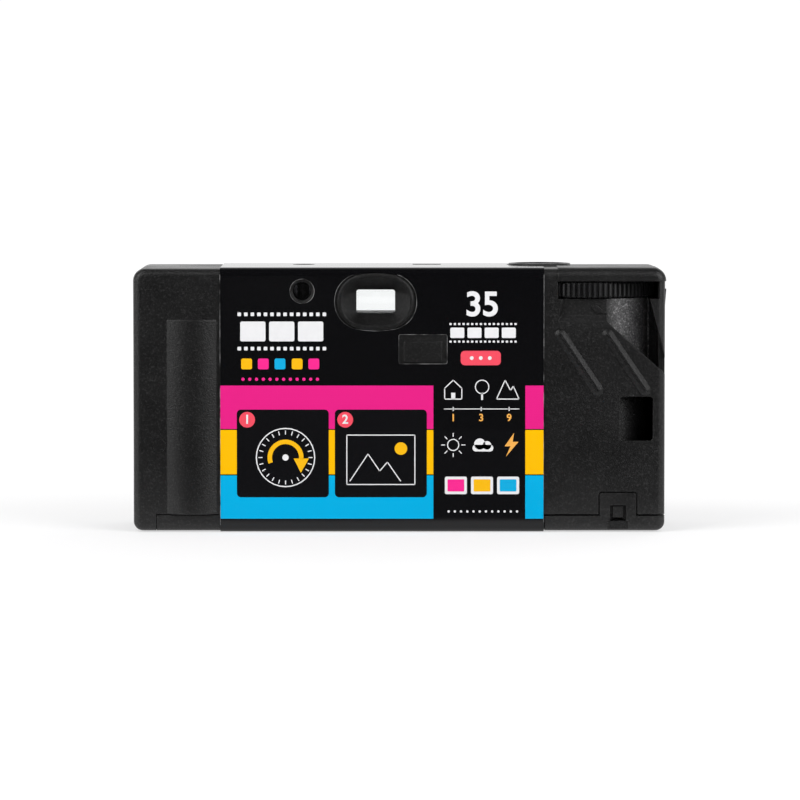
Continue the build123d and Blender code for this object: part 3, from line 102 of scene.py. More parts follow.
tree = paper_white.node_tree
tree.nodes.clear()
matt = tree.nodes.new("ShaderNodeBsdfDiffuse")
matt.inputs["Color"].default_value = (0.93, 0.93, 0.94, 1)
glow = tree.nodes.new("ShaderNodeEmission")
glow.inputs["Color"].default_value = (1, 1, 1, 1)
glow.inputs["Strength"].default_value = 1.1
rays = tree.nodes.new("ShaderNodeLightPath")
near = tree.nodes.new("ShaderNodeMath")
near.operation = "MAXIMUM"
most = tree.nodes.new("ShaderNodeMath")
most.operation = "MAXIMUM"
place = tree.nodes.new("ShaderNodeTexCoord").outputs["Object"]
reach = tree.nodes.new("ShaderNodeVectorMath")
reach.operation = "LENGTH"
seen = tree.nodes.new("ShaderNodeMath")
seen.operation = "MULTIPLY"
both = tree.nodes.new("ShaderNodeMixShader")
out = tree.nodes.new("ShaderNodeOutputMaterial")
tree.links.new(place, reach.inputs[0])
share = spread(tree, reach.outputs["Value"], shadow_near, shadow_far, 0.5, 0.88)
tree.links.new(share, seen.inputs[1])
tree.links.new(rays.outputs["Is Camera Ray"], near.inputs[0])
tree.links.new(rays.outputs["Is Glossy Ray"], near.inputs[1])
tree.links.new(near.outputs[0], most.inputs[0])
tree.links.new(rays.outputs["Is Transmission Ray"], most.inputs[1])
tree.links.new(most.outputs[0], seen.inputs[0])
tree.links.new(seen.outputs[0], both.inputs["Fac"])
tree.links.new(matt.outputs[0], both.inputs[1])
tree.links.new(glow.outputs[0], both.inputs[2])
tree.links.new(both.outputs[0], out.inputs["Surface"])
paper.data.materials.append(paper_white)


# The studio light
# Soft boxes stand at the upper left, at both sides and behind. Dark cards stand where the
# photographer is and overhead, so that the black plastic stays dark and its edges shine.
# Two small pale ones lie low in front of the label.
world = bpy.context.scene.world or bpy.data.worlds.new("studio")
bpy.context.scene.world = world
world.use_nodes = True
tree = world.node_tree
tree.nodes.clear()
room = tree.nodes.new("ShaderNodeBackground")
room.inputs["Color"].default_value = (1, 1, 1, 1)
room.inputs["Strength"].default_value = 0.4
bright = tree.nodes.new("ShaderNodeBackground")
bright.inputs["Color"].default_value = (1, 1, 1, 1)
bright.inputs["Strength"].default_value = 1.0
rays = tree.nodes.new("ShaderNodeLightPath")
near = tree.nodes.new("ShaderNodeMath")
near.operation = "MAXIMUM"
both = tree.nodes.new("ShaderNodeMixShader")
out = tree.nodes.new("ShaderNodeOutputWorld")
tree.links.new(rays.outputs["Is Camera Ray"], near.inputs[0])
tree.links.new(rays.outputs["Is Transmission Ray"], near.inputs[1])
tree.links.new(near.outputs[0], both.inputs["Fac"])
tree.links.new(room.outputs[0], both.inputs[1])
tree.links.new(bright.outputs[0], both.inputs[2])
tree.links.new(both.outputs[0], out.inputs["Surface"])


middle_height = 0.03


def soft_box(name, place, width, height, power):
    bpy.ops.object.select_all(action="DESELECT")
    bpy.ops.object.light_add(type="AREA", location=place)
    box = bpy.context.object
    box.name = name
    box.data.shape = "RECTANGLE"
    box.data.size = width
    box.data.size_y = height
    box.data.energy = power
    down = math.atan2(math.hypot(place[0], place[1]), place[2] - middle_height)
    turn = math.atan2(place[1], place[0]) + math.pi / 2
    box.rotation_euler = (down, 0, turn)
    return box


soft_box("box_above", (-0.7, -0.7, 0.95), width=0.7, height=0.7, power=6)
soft_box("box_left", (-0.85, -0.6, 0.3), width=0.6, height=0.6, power=3)
soft_box("box_right", (0.8, -0.75, 0.55), width=0.8, height=0.8, power=8)
box_behind = soft_box("box_behind", (0.3, 1.0, 0.5), width=1.2, height=0.6, power=5)
box_behind.visible_glossy = False


def fresh(name):
    material = bpy.data.materials.new(name)
    material.use_nodes = True
    return material, material.node_tree, material.node_tree.nodes["Principled BSDF"]


def card(name, place, size, turn, tone):
    bpy.ops.object.select_all(action="DESELECT")
    bpy.ops.mesh.primitive_plane_add(size=1, location=place, rotation=(turn, 0, 0))
    sheet = bpy.context.object
    sheet.name = name
    sheet.scale = (*size, 1)
    felt, _, skin = fresh(name)
    skin.inputs["Base Color"].default_value = (tone, tone, tone, 1)
    skin.inputs["Roughness"].default_value = 1
    sheet.data.materials.append(felt)
    sheet.visible_camera = False
    sheet.visible_diffuse = False
    sheet.visible_shadow = False
    sheet.visible_transmission = False


standing, lying, hanging = math.pi / 2, 0, math.pi
dark, pale = 0.015, 0.8
card("card_rear", (0, -1.3, 0.6), (1.5, 1.3), standing, dark)
card("card_rear_low", (0, -0.67, 0.001), (1.0, 1.27), lying, dark)
card("card_above", (0, -0.55, 1.25), (2.4, 1.6), hanging, dark)
card("card_pale", (-0.06, -1.22, 0.002), (0.056, 0.13), lying, pale)
card("card_pale_small", (-0.003, -0.9, 0.002), (0.01, 0.04), lying, pale)


# Front and back covers, film door
# Three mouldings of black polystyrene with a fine matte grain. Handling has left
# them with faint smudges and pale specks, and every edge is slightly rounded.
def noise(tree, vector, scale, detail=2, roughness=0.5):
    texture = tree.nodes.new("ShaderNodeTexNoise")
    texture.inputs["Scale"].default_value = scale
    texture.inputs["Detail"].default_value = detail
    texture.inputs["Roughness"].default_value = roughness
    tree.links.new(vector, texture.inputs["Vector"])
    return texture.outputs["Fac"]


def tinted(tree, source, first, second):
    node = tree.nodes.new("ShaderNodeMix")
    node.data_type = "RGBA"
    node.inputs["A"].default_value = (*first, 1)
    node.inputs["B"].default_value = (*second, 1)
    tree.links.new(source, node.inputs["Factor"])
    return node.outputs["Result"]


def relief(tree, height, strength, depth, under=None):
    bump = tree.nodes.new("ShaderNodeBump")
    bump.inputs["Strength"].default_value = strength
    bump.inputs["Distance"].default_value = depth
    tree.links.new(height, bump.inputs["Height"])
    if under is not None:
        tree.links.new(under, bump.inputs["Normal"])
    return bump.outputs["Normal"]


def moulded_black(name, colour, rough, grain_mm, grain_depth, edge_mm, smudge, speck=0.6):
    material, tree, skin = fresh(name)
    place = tree.nodes.new("ShaderNodeTexCoord").outputs["Object"]
    grain = noise(tree, place, 1 / (grain_mm * mm), detail=3, roughness=0.6)
    cloud = noise(tree, place, 70, detail=4, roughness=0.55)
    dust = noise(tree, place, 1 / (1.6 * grain_mm * mm), roughness=0.7)
    tint = tinted(tree, cloud, [c * (1 - smudge) for c in colour], [c * (1 + smudge) for c in colour])
    specked = tree.nodes.new("ShaderNodeVectorMath")
    specked.operation = "SCALE"
    tree.links.new(tint, specked.inputs[0])
    tree.links.new(spread(tree, dust, 0.52, 0.72, 1, 1 + speck), specked.inputs["Scale"])
    tree.links.new(specked.outputs["Vector"], skin.inputs["Base Color"])
    polish = spread(tree, cloud, 0.3, 0.7, rough - 0.05, rough + 0.07)
    tree.links.new(polish, skin.inputs["Roughness"])
    soft_edge = tree.nodes.new("ShaderNodeBevel")
    soft_edge.samples = 4
    soft_edge.inputs["Radius"].default_value = edge_mm * mm
    bumps = relief(tree, grain, 0.6, grain_depth * mm, under=soft_edge.outputs["Normal"])
    tree.links.new(bumps, skin.inputs["Normal"])
    skin.inputs["Specular IOR Level"].default_value = 0.4
    return material


def dress(node, material):
    piece = nodes[node]
    piece.data.materials.clear()
    piece.data.materials.append(material)


charcoal = (0.0062, 0.0061, 0.0062)
cover_black = moulded_black(
    "cover_black", charcoal, rough=0.33,
    grain_mm=0.3, grain_depth=0.16, edge_mm=0.3, smudge=0.3, speck=2.5,
)
for node in ("back_cover", "front_cover", "film_door"):
    dress(node, cover_black)


# Chamber wall in the thumb recess
# The round of the cassette chamber stands bare under the wheel. Its skin has a coarser spark texture.
# There its base colour is also raised many times over as a painted highlight, which fades in from the
# facet's end towards the right.
low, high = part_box("cassette_caps")
axis_x = (low[0] + high[0]) / 2
axis_y = (low[1] + high[1]) / 2
wall_over_caps = 1.4 * mm
wall_r = (high[0] - low[0]) / 2 + wall_over_caps
wall_slack = 0.25 * mm
facet_end, full_sheen = 3.4 * mm, 6.5 * mm
bare_middle, bare_half = 41.5 * mm, 10.5 * mm
tree = cover_black.node_tree
skin = tree.nodes["Principled BSDF"]
place = tree.nodes.new("ShaderNodeTexCoord").outputs["Object"]
centre = tree.nodes.new("ShaderNodeVectorMath")
centre.operation = "SUBTRACT"
centre.inputs[1].default_value = (axis_x, axis_y, 0)
across = tree.nodes.new("ShaderNodeVectorMath")
across.operation = "MULTIPLY"
across.inputs[1].default_value = (1, 1, 0)
radius = tree.nodes.new("ShaderNodeVectorMath")
radius.operation = "LENGTH"
on_wall = tree.nodes.new("ShaderNodeMath")
on_wall.operation = "COMPARE"
on_wall.inputs[1].default_value = wall_r
on_wall.inputs[2].default_value = wall_slack
sides = tree.nodes.new("ShaderNodeSeparateXYZ")
beside = tree.nodes.new("ShaderNodeMapRange")
beside.interpolation_type = "SMOOTHSTEP"
beside.inputs["From Min"].default_value = facet_end
beside.inputs["From Max"].default_value = full_sheen
over_window = tree.nodes.new("ShaderNodeMath")
over_window.operation = "COMPARE"
over_window.inputs[1].default_value = bare_middle
over_window.inputs[2].default_value = bare_half
upper = tree.nodes.new("ShaderNodeMath")
upper.operation = "MULTIPLY"
sheen_mask = tree.nodes.new("ShaderNodeMath")
sheen_mask.operation = "MULTIPLY"
tree.links.new(place, centre.inputs[0])
tree.links.new(centre.outputs["Vector"], across.inputs[0])
tree.links.new(across.outputs["Vector"], radius.inputs[0])
tree.links.new(radius.outputs["Value"], on_wall.inputs[0])
tree.links.new(centre.outputs["Vector"], sides.inputs[0])
tree.links.new(sides.outputs["X"], beside.inputs["Value"])
tree.links.new(sides.outputs["Z"], over_window.inputs[0])
tree.links.new(over_window.outputs[0], upper.inputs[0])
tree.links.new(on_wall.outputs[0], upper.inputs[1])
tree.links.new(upper.outputs[0], sheen_mask.inputs[0])
tree.links.new(beside.outputs["Result"], sheen_mask.inputs[1])
spark_size = 0.36 * mm
# Painted highlight: on the bare wall the base colour is scaled up six to seventeen times, in a coarse
# spark pattern, in place of a lamp's sheen on the round.
spark_and_sheen = spread(tree, noise(tree, place, 1 / spark_size), 0.4, 0.7, 6, 17)
sheen_lift = tree.nodes.new("ShaderNodeMix")
sheen_lift.inputs["A"].default_value = 1
tree.links.new(sheen_mask.outputs[0], sheen_lift.inputs["Factor"])
tree.links.new(spark_and_sheen, sheen_lift.inputs["B"])
painted_sheen_colour = tree.nodes.new("ShaderNodeVectorMath")
painted_sheen_colour.operation = "SCALE"
tree.links.new(skin.inputs["Base Color"].links[0].from_socket, painted_sheen_colour.inputs[0])
tree.links.new(sheen_lift.outputs["Result"], painted_sheen_colour.inputs["Scale"])
tree.links.new(painted_sheen_colour.outputs["Vector"], skin.inputs["Base Color"])


# Wrap label
# One printed band of glossy film goes round the middle, from the rear over the top and
# the front and back under the base. Three plain stripes run round it, the upper one
# printed as a fine dot screen.
def band_edge(tree, source, limit, above):
    step = tree.nodes.new("ShaderNodeMath")
    step.operation = "GREATER_THAN" if above else "LESS_THAN"
    step.inputs[1].default_value = limit * mm
    tree.links.new(source, step.inputs[0])
    return step.outputs[0]


def either(tree, first, second):
    node = tree.nodes.new("ShaderNodeMath")
    node.operation = "MAXIMUM"
    tree.links.new(first, node.inputs[0])
    tree.links.new(second, node.inputs[1])
    return node.outputs[0]


label_height = 58.75
label_black = (0.0035, 0.0035, 0.0042, 1)
ink_cyan = (0.0, 0.38, 0.68)
ink_yellow = (0.88, 0.46, 0.0)
stripes = (
    (2.94, (*ink_cyan, 1)),
    (12.49, label_black),
    (12.83, (*ink_yellow, 1)),
    (22.5, label_black),
    (22.83, (0.91, 0.018, 0.27, 1)),
    (32.4, label_black),
)
left_block_end, right_block_start = 7.6, 28.0
screen_pitch = 0.55
screen_start = 22.8
label_print, tree, skin = fresh("label_print")
place = tree.nodes.new("ShaderNodeTexCoord").outputs["Object"]
axes = tree.nodes.new("ShaderNodeSeparateXYZ")
tree.links.new(place, axes.inputs[0])
height = spread(tree, axes.outputs["Z"], 0, label_height * mm, 0, 1)
ramp = tree.nodes.new("ShaderNodeValToRGB")
ramp.color_ramp.interpolation = "CONSTANT"
ramp.color_ramp.elements.remove(ramp.color_ramp.elements[1])
ramp.color_ramp.elements[0].color = label_black
for level, colour in stripes:
    stop = ramp.color_ramp.elements.new(level / label_height)
    stop.color = colour
tree.links.new(height, ramp.inputs["Fac"])
left_block = band_edge(tree, axes.outputs["X"], left_block_end, above=False)
right_block = band_edge(tree, axes.outputs["X"], right_block_start, above=True)
front_side = band_edge(tree, axes.outputs["Y"], 0, above=True)
shown = either(tree, either(tree, left_block, right_block), front_side)
printed = tree.nodes.new("ShaderNodeMix")
printed.data_type = "RGBA"
printed.inputs["A"].default_value = label_black
tree.links.new(shown, printed.inputs["Factor"])
tree.links.new(ramp.outputs["Color"], printed.inputs["B"])
screen = tree.nodes.new("ShaderNodeTexVoronoi")
screen.inputs["Scale"].default_value = 1 / (screen_pitch * mm)
screen.inputs["Randomness"].default_value = 0
tree.links.new(place, screen.inputs["Vector"])
dots = spread(tree, screen.outputs["Distance"], 0.2, 0.5, 1.0, 0.78)
upper = band_edge(tree, axes.outputs["Z"], screen_start, above=True)
inked = tree.nodes.new("ShaderNodeMix")
inked.data_type = "RGBA"
inked.blend_type = "MULTIPLY"
tree.links.new(upper, inked.inputs["Factor"])
tree.links.new(printed.outputs["Result"], inked.inputs["A"])
tree.links.new(dots, inked.inputs["B"])
tree.links.new(inked.outputs["Result"], skin.inputs["Base Color"])
swell = relief(tree, noise(tree, place, 45), 0.5, 0.15 * mm)
tree.links.new(swell, skin.inputs["Normal"])
skin.inputs["Roughness"].default_value = 0.1
skin.inputs["Specular IOR Level"].default_value = 0.35
dress("wrap_label", label_print)


# Signs printed on the rear of the label
# Screen ink on the film: two black panels with a dial and a view in line, plain numbers,
# film frames, a house, a tree, hills and weather signs. Each ink is a thin layer.
print_y = -16.25 * mm
panels = ((-25.8, 17.5), (-4.05, 17.5))
badges = ((-33.7, 25.0), (-11.95, 25.0))
square_x, square_z = (-33.8, -30.1, -26.4, -22.6, -18.9), 37.4
picture_x, picture_z = (12.6, 18.4, 24.2), 10.4
scale_x, scale_z = (12.0, 18.2, 24.4), 27.4
dial_x, dial_z = -25.2, 16.6
sun_x, sun_z = 12.0, 19.4
button_x, button_z = 18.1, 38.7
fine = 0.22


def patch(x, z, width, height, corner=0, turn=0):
    bpy.ops.object.select_all(action="DESELECT")
    bpy.ops.mesh.primitive_plane_add(
        size=1, location=(x * mm, print_y, z * mm), rotation=(math.pi / 2, turn, 0)
    )
    piece = bpy.context.object
    piece.scale = (width * mm, height * mm, 1)
    bpy.ops.object.transform_apply(location=True, rotation=True, scale=True)
    if corner:
        bpy.ops.object.mode_set(mode="EDIT")
        bpy.ops.mesh.select_all(action="SELECT")
        bpy.ops.mesh.bevel(affect="VERTICES", offset=corner * mm, segments=5)
        bpy.ops.object.mode_set(mode="OBJECT")
    return piece


def disc(x, z, radius, hole=0):
    bpy.ops.object.select_all(action="DESELECT")
    bpy.ops.mesh.primitive_circle_add(
        vertices=32, radius=radius * mm, fill_type="NGON",
        location=(x * mm, print_y, z * mm), rotation=(math.pi / 2, 0, 0),
    )
    piece = bpy.context.object
    bpy.ops.object.transform_apply(location=True, rotation=True, scale=True)
    if hole:
        bpy.ops.object.mode_set(mode="EDIT")
        bpy.ops.mesh.select_mode(type="FACE")
        bpy.ops.mesh.select_all(action="SELECT")
        bpy.ops.mesh.inset(thickness=(radius - hole) * mm)
        bpy.ops.mesh.delete(type="FACE")
        bpy.ops.object.mode_set(mode="OBJECT")
    return piece


def stroke(points, width):
    pieces = []
    for (x0, z0), (x1, z1) in zip(points, points[1:]):
        length = math.hypot(x1 - x0, z1 - z0)
        turn = -math.atan2(z1 - z0, x1 - x0)
        pieces.append(patch((x0 + x1) / 2, (z0 + z1) / 2, length + width, width, 0.49 * width, turn))
    return pieces


def arc(x, z, radius, start, end, steps=10):
    span = [math.radians(start + (end - start) * n / steps) for n in range(steps + 1)]
    return [(x + radius * math.cos(a), z + radius * math.sin(a)) for a in span]


def number(words, x, z, height):
    bpy.ops.object.select_all(action="DESELECT")
    bpy.ops.object.text_add(location=(0, 0, 0))
    piece = bpy.context.object
    piece.data.body = words
    piece.data.align_x = "CENTER"
    piece.data.align_y = "CENTER"
    piece.data.size = height * 1.4 * mm
    piece.data.offset = 0.03 * height * mm
    bpy.ops.object.convert(target="MESH")
    piece = bpy.context.object
    piece.location = (x * mm, print_y, z * mm)
    piece.rotation_euler = (math.pi / 2, 0, 0)
    bpy.ops.object.transform_apply(location=True, rotation=True, scale=True)
    return piece


def joined(name, pieces):
    bpy.ops.object.select_all(action="DESELECT")
    for piece in pieces:
        piece.select_set(True)
    bpy.context.view_layer.objects.active = pieces[0]
    bpy.ops.object.join()
    whole = bpy.context.object
    whole.name = name
    return whole


def ink_layer(name, colour, pieces, sheen_lift):
    layer = joined(name, pieces)
    bpy.ops.object.mode_set(mode="EDIT")
    bpy.ops.mesh.select_all(action="SELECT")
    bpy.ops.transform.translate(value=(0, -sheen_lift * mm, 0))
    bpy.ops.object.mode_set(mode="OBJECT")
    ink, tree, skin = fresh(name)
    place = tree.nodes.new("ShaderNodeTexCoord").outputs["Object"]
    tint = tinted(tree, noise(tree, place, 900), [c * 0.93 for c in colour], colour)
    tree.links.new(tint, skin.inputs["Base Color"])
    skin.inputs["Roughness"].default_value = 0.24
    skin.inputs["Specular IOR Level"].default_value = 0.35
    layer.data.materials.append(ink)
    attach(layer, "camera")


def spokes(x, z, count, start, end, width):
    pieces = []
    for n in range(count):
        turn = math.radians(n * 360 / count)
        ends = [(x + r * math.cos(turn), z + r * math.sin(turn)) for r in (start, end)]
        pieces += stroke(ends, width)
    return pieces


def film_holes(count, x, pitch, rows, width, height, corner):
    return [patch(x + n * pitch, z, width, height, corner=corner) for n in range(count) for z in rows]


def square(n):
    return patch(square_x[n], square_z, 2.4, 2.4, corner=0.4)


def picture(n):
    return patch(picture_x[n], picture_z, 3.7, 2.7, corner=0.2)


black = [patch(x, z, 20.4, 19.5, corner=0.9) for x, z in panels]
ink_layer("print_black", (0.004, 0.004, 0.005), black, 0.02)

red = [disc(x, z, 1.75) for x, z in badges]
red.append(patch(button_x, button_z, 8.9, 3.2, corner=0.9))
ink_layer("print_red", (0.83, 0.07, 0.11), red, 0.04)

white = [number("1", *badges[0], 2.0), number("2", *badges[1], 2.0)]
white += [disc(dial_x, dial_z, 6.6, 6.35), disc(dial_x, dial_z, 0.7)]
white += spokes(dial_x, dial_z, 24, 5.2, 5.9, fine)
white += stroke([(-11.6, 10.6), (-11.6, 21.6), (3.5, 21.6), (3.5, 10.6), (-11.6, 10.6)], fine)
white += stroke([(-10.9, 11.4), (-6.9, 17.4), (-4.3, 13.6), (-2.6, 15.6), (0.3, 11.4)], fine)
white.append(number("35", 18.4, 50.4, 5.4))
white += [patch(12.9 + n * 3.8, 44.3, 3.1, 2.3, corner=0.3) for n in range(4)]
white += film_holes(16, 11.4, 0.96, (46.25, 42.35), 0.5, 0.45, 0.1)
white += [patch(-32.4 + n * 6.4, 44.6, 5.6, 4.4, corner=0.4) for n in range(3)]
white += film_holes(14, -35.4, 1.45, (48.4, 40.8), 0.8, 0.8, 0.15)
white += [disc(button_x + n * 2.0, button_z, 0.42) for n in (-1, 0, 1)]
white += stroke([(10.1, 29.6), (10.1, 32.0), (12.0, 33.8), (13.9, 32.0), (13.9, 29.6), (10.1, 29.6)], fine)
white += [patch(12.0, 30.3, 0.9, 1.4), patch(18.4, 30.2, 0.4, 1.6), disc(18.4, 32.3, 1.6, 1.38)]
white += stroke([(21.6, 29.6), (23.5, 33.8), (24.7, 31.5), (25.3, 32.5), (26.6, 29.6), (21.6, 29.6)], fine)
white += stroke([(10.0, scale_z), (26.6, scale_z)], 0.18)
white += [patch(x, scale_z, 0.2, 0.9) for x in scale_x]
white.append(disc(sun_x, sun_z, 1.35, 1.13))
white += spokes(sun_x, sun_z, 8, 1.9, 2.6, 0.2)
white += [patch(18.6, 18.7, 4.6, 1.5, corner=0.7), disc(17.9, 19.6, 1.25), disc(19.5, 19.3, 0.95)]
white += [patch(x, picture_z, 4.9, 3.9, corner=0.4) for x in picture_x]
white += [disc(11.0 + n * 1.38, 4.6, 0.26) for n in range(12)]
ink_layer("print_white", (0.76, 0.76, 0.77), white, 0.06)


def flat_shape(points):
    bpy.ops.object.select_all(action="DESELECT")
    bpy.ops.mesh.primitive_circle_add(
        vertices=len(points), radius=mm, fill_type="NGON",
        location=(0, print_y, 0), rotation=(math.pi / 2, 0, 0),
    )
    piece = bpy.context.object
    bpy.ops.object.transform_apply(location=True, rotation=True, scale=True)
    for vertex, (x, z) in zip(piece.data.vertices, points):
        vertex.co = (x * mm, print_y, z * mm)
    bpy.ops.object.mode_set(mode="EDIT")
    bpy.ops.mesh.select_all(action="SELECT")
    bpy.ops.mesh.quads_convert_to_tris()
    bpy.ops.object.mode_set(mode="OBJECT")
    return piece


outer, inner = [arc(dial_x, dial_z, r, 200, -4, 24) for r in (4.0, 3.0)]
yellow = [flat_shape(outer + inner[::-1])]
yellow.append(flat_shape([(-23.4, 16.4), (-20.0, 16.4), (-21.8, 13.2)]))
yellow += [disc(0.4, 18.6, 1.4), picture(1), square(0), square(3)]
ink_layer("print_yellow", ink_yellow, yellow, 0.08)

pink = [square(1), square(4)]
pink += [disc(-34.6 + n * 1.5, 34.0, 0.36) for n in range(12)]
pink.append(picture(0))
ink_layer("print_pink", (0.88, 0.018, 0.26), pink, 0.08)

ink_layer("print_cyan", ink_cyan, [square(2), picture(2)], 0.08)

orange = [number(words, x, 25.4, 1.6) for words, x in zip("139", scale_x)]
bolt = [(25.5, 22.1), (23.4, 19.1), (24.7, 19.1), (23.7, 16.8), (26.5, 20.1), (25.2, 20.1)]
orange.append(flat_shape(bolt[::-1]))
ink_layer("print_orange", (0.83, 0.4, 0.08), orange, 0.06)


# Cut edge of the label
# The film has a white core, and it shows as a broken pale hair line where the die has
# cut the band's two ends and its openings.
label_mesh = nodes["wrap_label"].data
sharp = {}
for face in label_mesh.polygons:
    on_rear = face.center.y < -16.1 * mm and face.normal.y < -0.99
    across = abs(face.normal.y) < 0.1
    for key in face.edge_keys:
        ends = tuple(sorted(tuple(round(c, 6) for c in label_mesh.vertices[v].co) for v in key))
        sharp.setdefault(ends, set()).add("print" if on_rear else "cut" if across else "fold")
rim = [ends for ends, kinds in sharp.items() if {"print", "cut"} <= kinds]
rim_points = sorted({end for ends in rim for end in ends})
order = {end: n for n, end in enumerate(rim_points)}
rim_mesh = bpy.data.meshes.new("label_cut_edge")
rim_mesh.from_pydata(rim_points, [[order[a], order[b]] for a, b in rim], [])
label_cut_edge = bpy.data.objects.new("label_cut_edge", rim_mesh)
bpy.context.scene.collection.objects.link(label_cut_edge)
bpy.ops.object.select_all(action="DESELECT")
label_cut_edge.select_set(True)
bpy.context.view_layer.objects.active = label_cut_edge
bpy.ops.object.convert(target="CURVE")
label_cut_edge = bpy.context.object
label_cut_edge.data.bevel_depth = 0.06 * mm
label_cut_edge.data.bevel_resolution = 1
bpy.ops.object.convert(target="MESH")
label_cut_edge = bpy.context.object
label_core, tree, skin = fresh("label_core")
place = tree.nodes.new("ShaderNodeTexCoord").outputs["Object"]
worn = spread(tree, noise(tree, place, 400), 0.4, 0.65, 0.01, 0.22)
tree.links.new(worn, skin.inputs["Base Color"])
skin.inputs["Roughness"].default_value = 0.35
label_cut_edge.data.materials.append(label_core)
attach(label_cut_edge, "camera")


# Winding wheel, shutter button and flash slide
# Harder black mouldings with a satin skin and little grain. The wheel turns on its top
# pivot, and the button and the slide move in openings of the front cover.
wheel_black = moulded_black(
    "wheel_black", (0.012, 0.012, 0.0125), rough=0.34,
    grain_mm=0.25, grain_depth=0.03, edge_mm=0.12, smudge=0.15,
)
for node in ("thumbwheel", "shutter_button", "flash_switch"):
    dress(node, wheel_black)


# Inner frame and the parts that carry light
# One deep black moulding with chambers, plates and the light tunnel, its lens plate and
# finder tube, both spools and the kick lever, all dull so that no stray light gets about.
frame_black = moulded_black(
    "frame_black", (0.006, 0.006, 0.0065), rough=0.62,
    grain_mm=0.3, grain_depth=0.02, edge_mm=0.15, smudge=0.12,
)
for node in ("main_frame", "lens_plate", "finder_tunnel", "kick_lever", "cassette_spool", "supply_spool"):
    dress(node, frame_black)


# Front ring
# A glossy black bezel with fine turned steps towards the lens. It is a moulding of its
# own round the opening in the front cover.
ring_x, ring_z = -3.0, 26.05
ring_black = moulded_black(
    "ring_black", (0.008, 0.008, 0.009), rough=0.22,
    grain_mm=0.4, grain_depth=0.01, edge_mm=0.15, smudge=0.1,
)
tree = ring_black.node_tree
place = tree.nodes.new("ShaderNodeTexCoord").outputs["Object"]
centre = tree.nodes.new("ShaderNodeMapping")
centre.inputs["Location"].default_value = (-ring_x * mm, 0, -ring_z * mm)
turned = tree.nodes.new("ShaderNodeTexWave")
turned.wave_type = "RINGS"
turned.rings_direction = "Y"
turned.inputs["Scale"].default_value = 420
tree.links.new(place, centre.inputs["Vector"])
tree.links.new(centre.outputs["Vector"], turned.inputs["Vector"])
skin = tree.nodes["Principled BSDF"]
moulded_skin = skin.inputs["Normal"].links[0].from_socket
grooves = relief(tree, turned.outputs["Fac"], 0.5, 0.06 * mm, under=moulded_skin)
tree.links.new(grooves, skin.inputs["Normal"])
dress("lens_ring", ring_black)


# Lenses and clear panes
# Moulded acrylic: the taking lens, both finder lenses, the pane over the counter, the
# window of the flash with its fine upright ribs, and a smoked rod for the ready light.
def clear_moulding(name, colour, rough, rib_mm=0):
    material, tree, skin = fresh(name)
    skin.inputs["Base Color"].default_value = (*colour, 1)
    skin.inputs["Transmission Weight"].default_value = 1
    skin.inputs["IOR"].default_value = 1.49
    place = tree.nodes.new("ShaderNodeTexCoord").outputs["Object"]
    polish = spread(tree, noise(tree, place, 260, detail=3), 0, 1, rough, rough + 0.05)
    tree.links.new(polish, skin.inputs["Roughness"])
    if rib_mm:
        ribs = tree.nodes.new("ShaderNodeTexWave")
        ribs.bands_direction = "X"
        ribs.inputs["Scale"].default_value = 0.314 / (rib_mm * mm)
        tree.links.new(place, ribs.inputs["Vector"])
        tree.links.new(relief(tree, ribs.outputs["Fac"], 0.9, 0.2 * mm), skin.inputs["Normal"])
    return material


clear_acrylic = clear_moulding("clear_acrylic", (0.97, 0.98, 0.98), 0.01)
for node in ("lens", "eyepiece_lens", "finder_front_lens", "counter_window"):
    dress(node, clear_acrylic)
dress("flash_window", clear_moulding("ribbed_acrylic", (0.96, 0.97, 0.98), 0.03, rib_mm=0.9))
dress("light_guide", clear_moulding("smoked_acrylic", (0.05, 0.05, 0.055), 0.12))
dress("flash_tube", clear_moulding("tube_glass", (0.95, 0.96, 0.97), 0.02))
dress("ready_lamp", clear_moulding("lamp_glass", (0.95, 0.75, 0.55), 0.05))


# Shutter leaf, aperture, springs, contacts and reflector
# Thin sheet and wire: blackened steel for what lies in the light's way, bare spring
# steel, brass leaves, and bright aluminium behind the flash tube.
def metal_sheet(name, colour, rough, metallic, grain, stretch):
    material, tree, skin = fresh(name)
    skin.inputs["Metallic"].default_value = metallic
    place = tree.nodes.new("ShaderNodeTexCoord").outputs["Object"]
    pull = tree.nodes.new("ShaderNodeMapping")
    pull.inputs["Scale"].default_value = stretch
    tree.links.new(place, pull.inputs["Vector"])
    lines = noise(tree, pull.outputs["Vector"], grain, detail=4)
    tree.links.new(tinted(tree, lines, [c * 0.86 for c in colour], colour), skin.inputs["Base Color"])
    polish = spread(tree, lines, 0, 1, rough * 0.8, rough * 1.2)
    tree.links.new(polish, skin.inputs["Roughness"])
    return material


blackened = metal_sheet("blackened_steel", (0.018, 0.018, 0.02), 0.5, 0.6, 700, (1, 1, 4))
for node in ("aperture_plate", "shutter_blade"):
    dress(node, blackened)
wire = metal_sheet("spring_wire", (0.52, 0.52, 0.54), 0.28, 1, 1500, (1, 1, 1))
for node in ("kick_spring", "blade_spring", "button_spring"):
    dress(node, wire)
brass = metal_sheet("contact_brass", (0.72, 0.55, 0.25), 0.3, 1, 600, (0.2, 1, 1))
for node in ("trigger_contacts", "battery_contacts"):
    dress(node, brass)
dress("flash_reflector", metal_sheet("bright_aluminium", (0.86, 0.86, 0.88), 0.16, 1, 400, (0.1, 1, 1)))


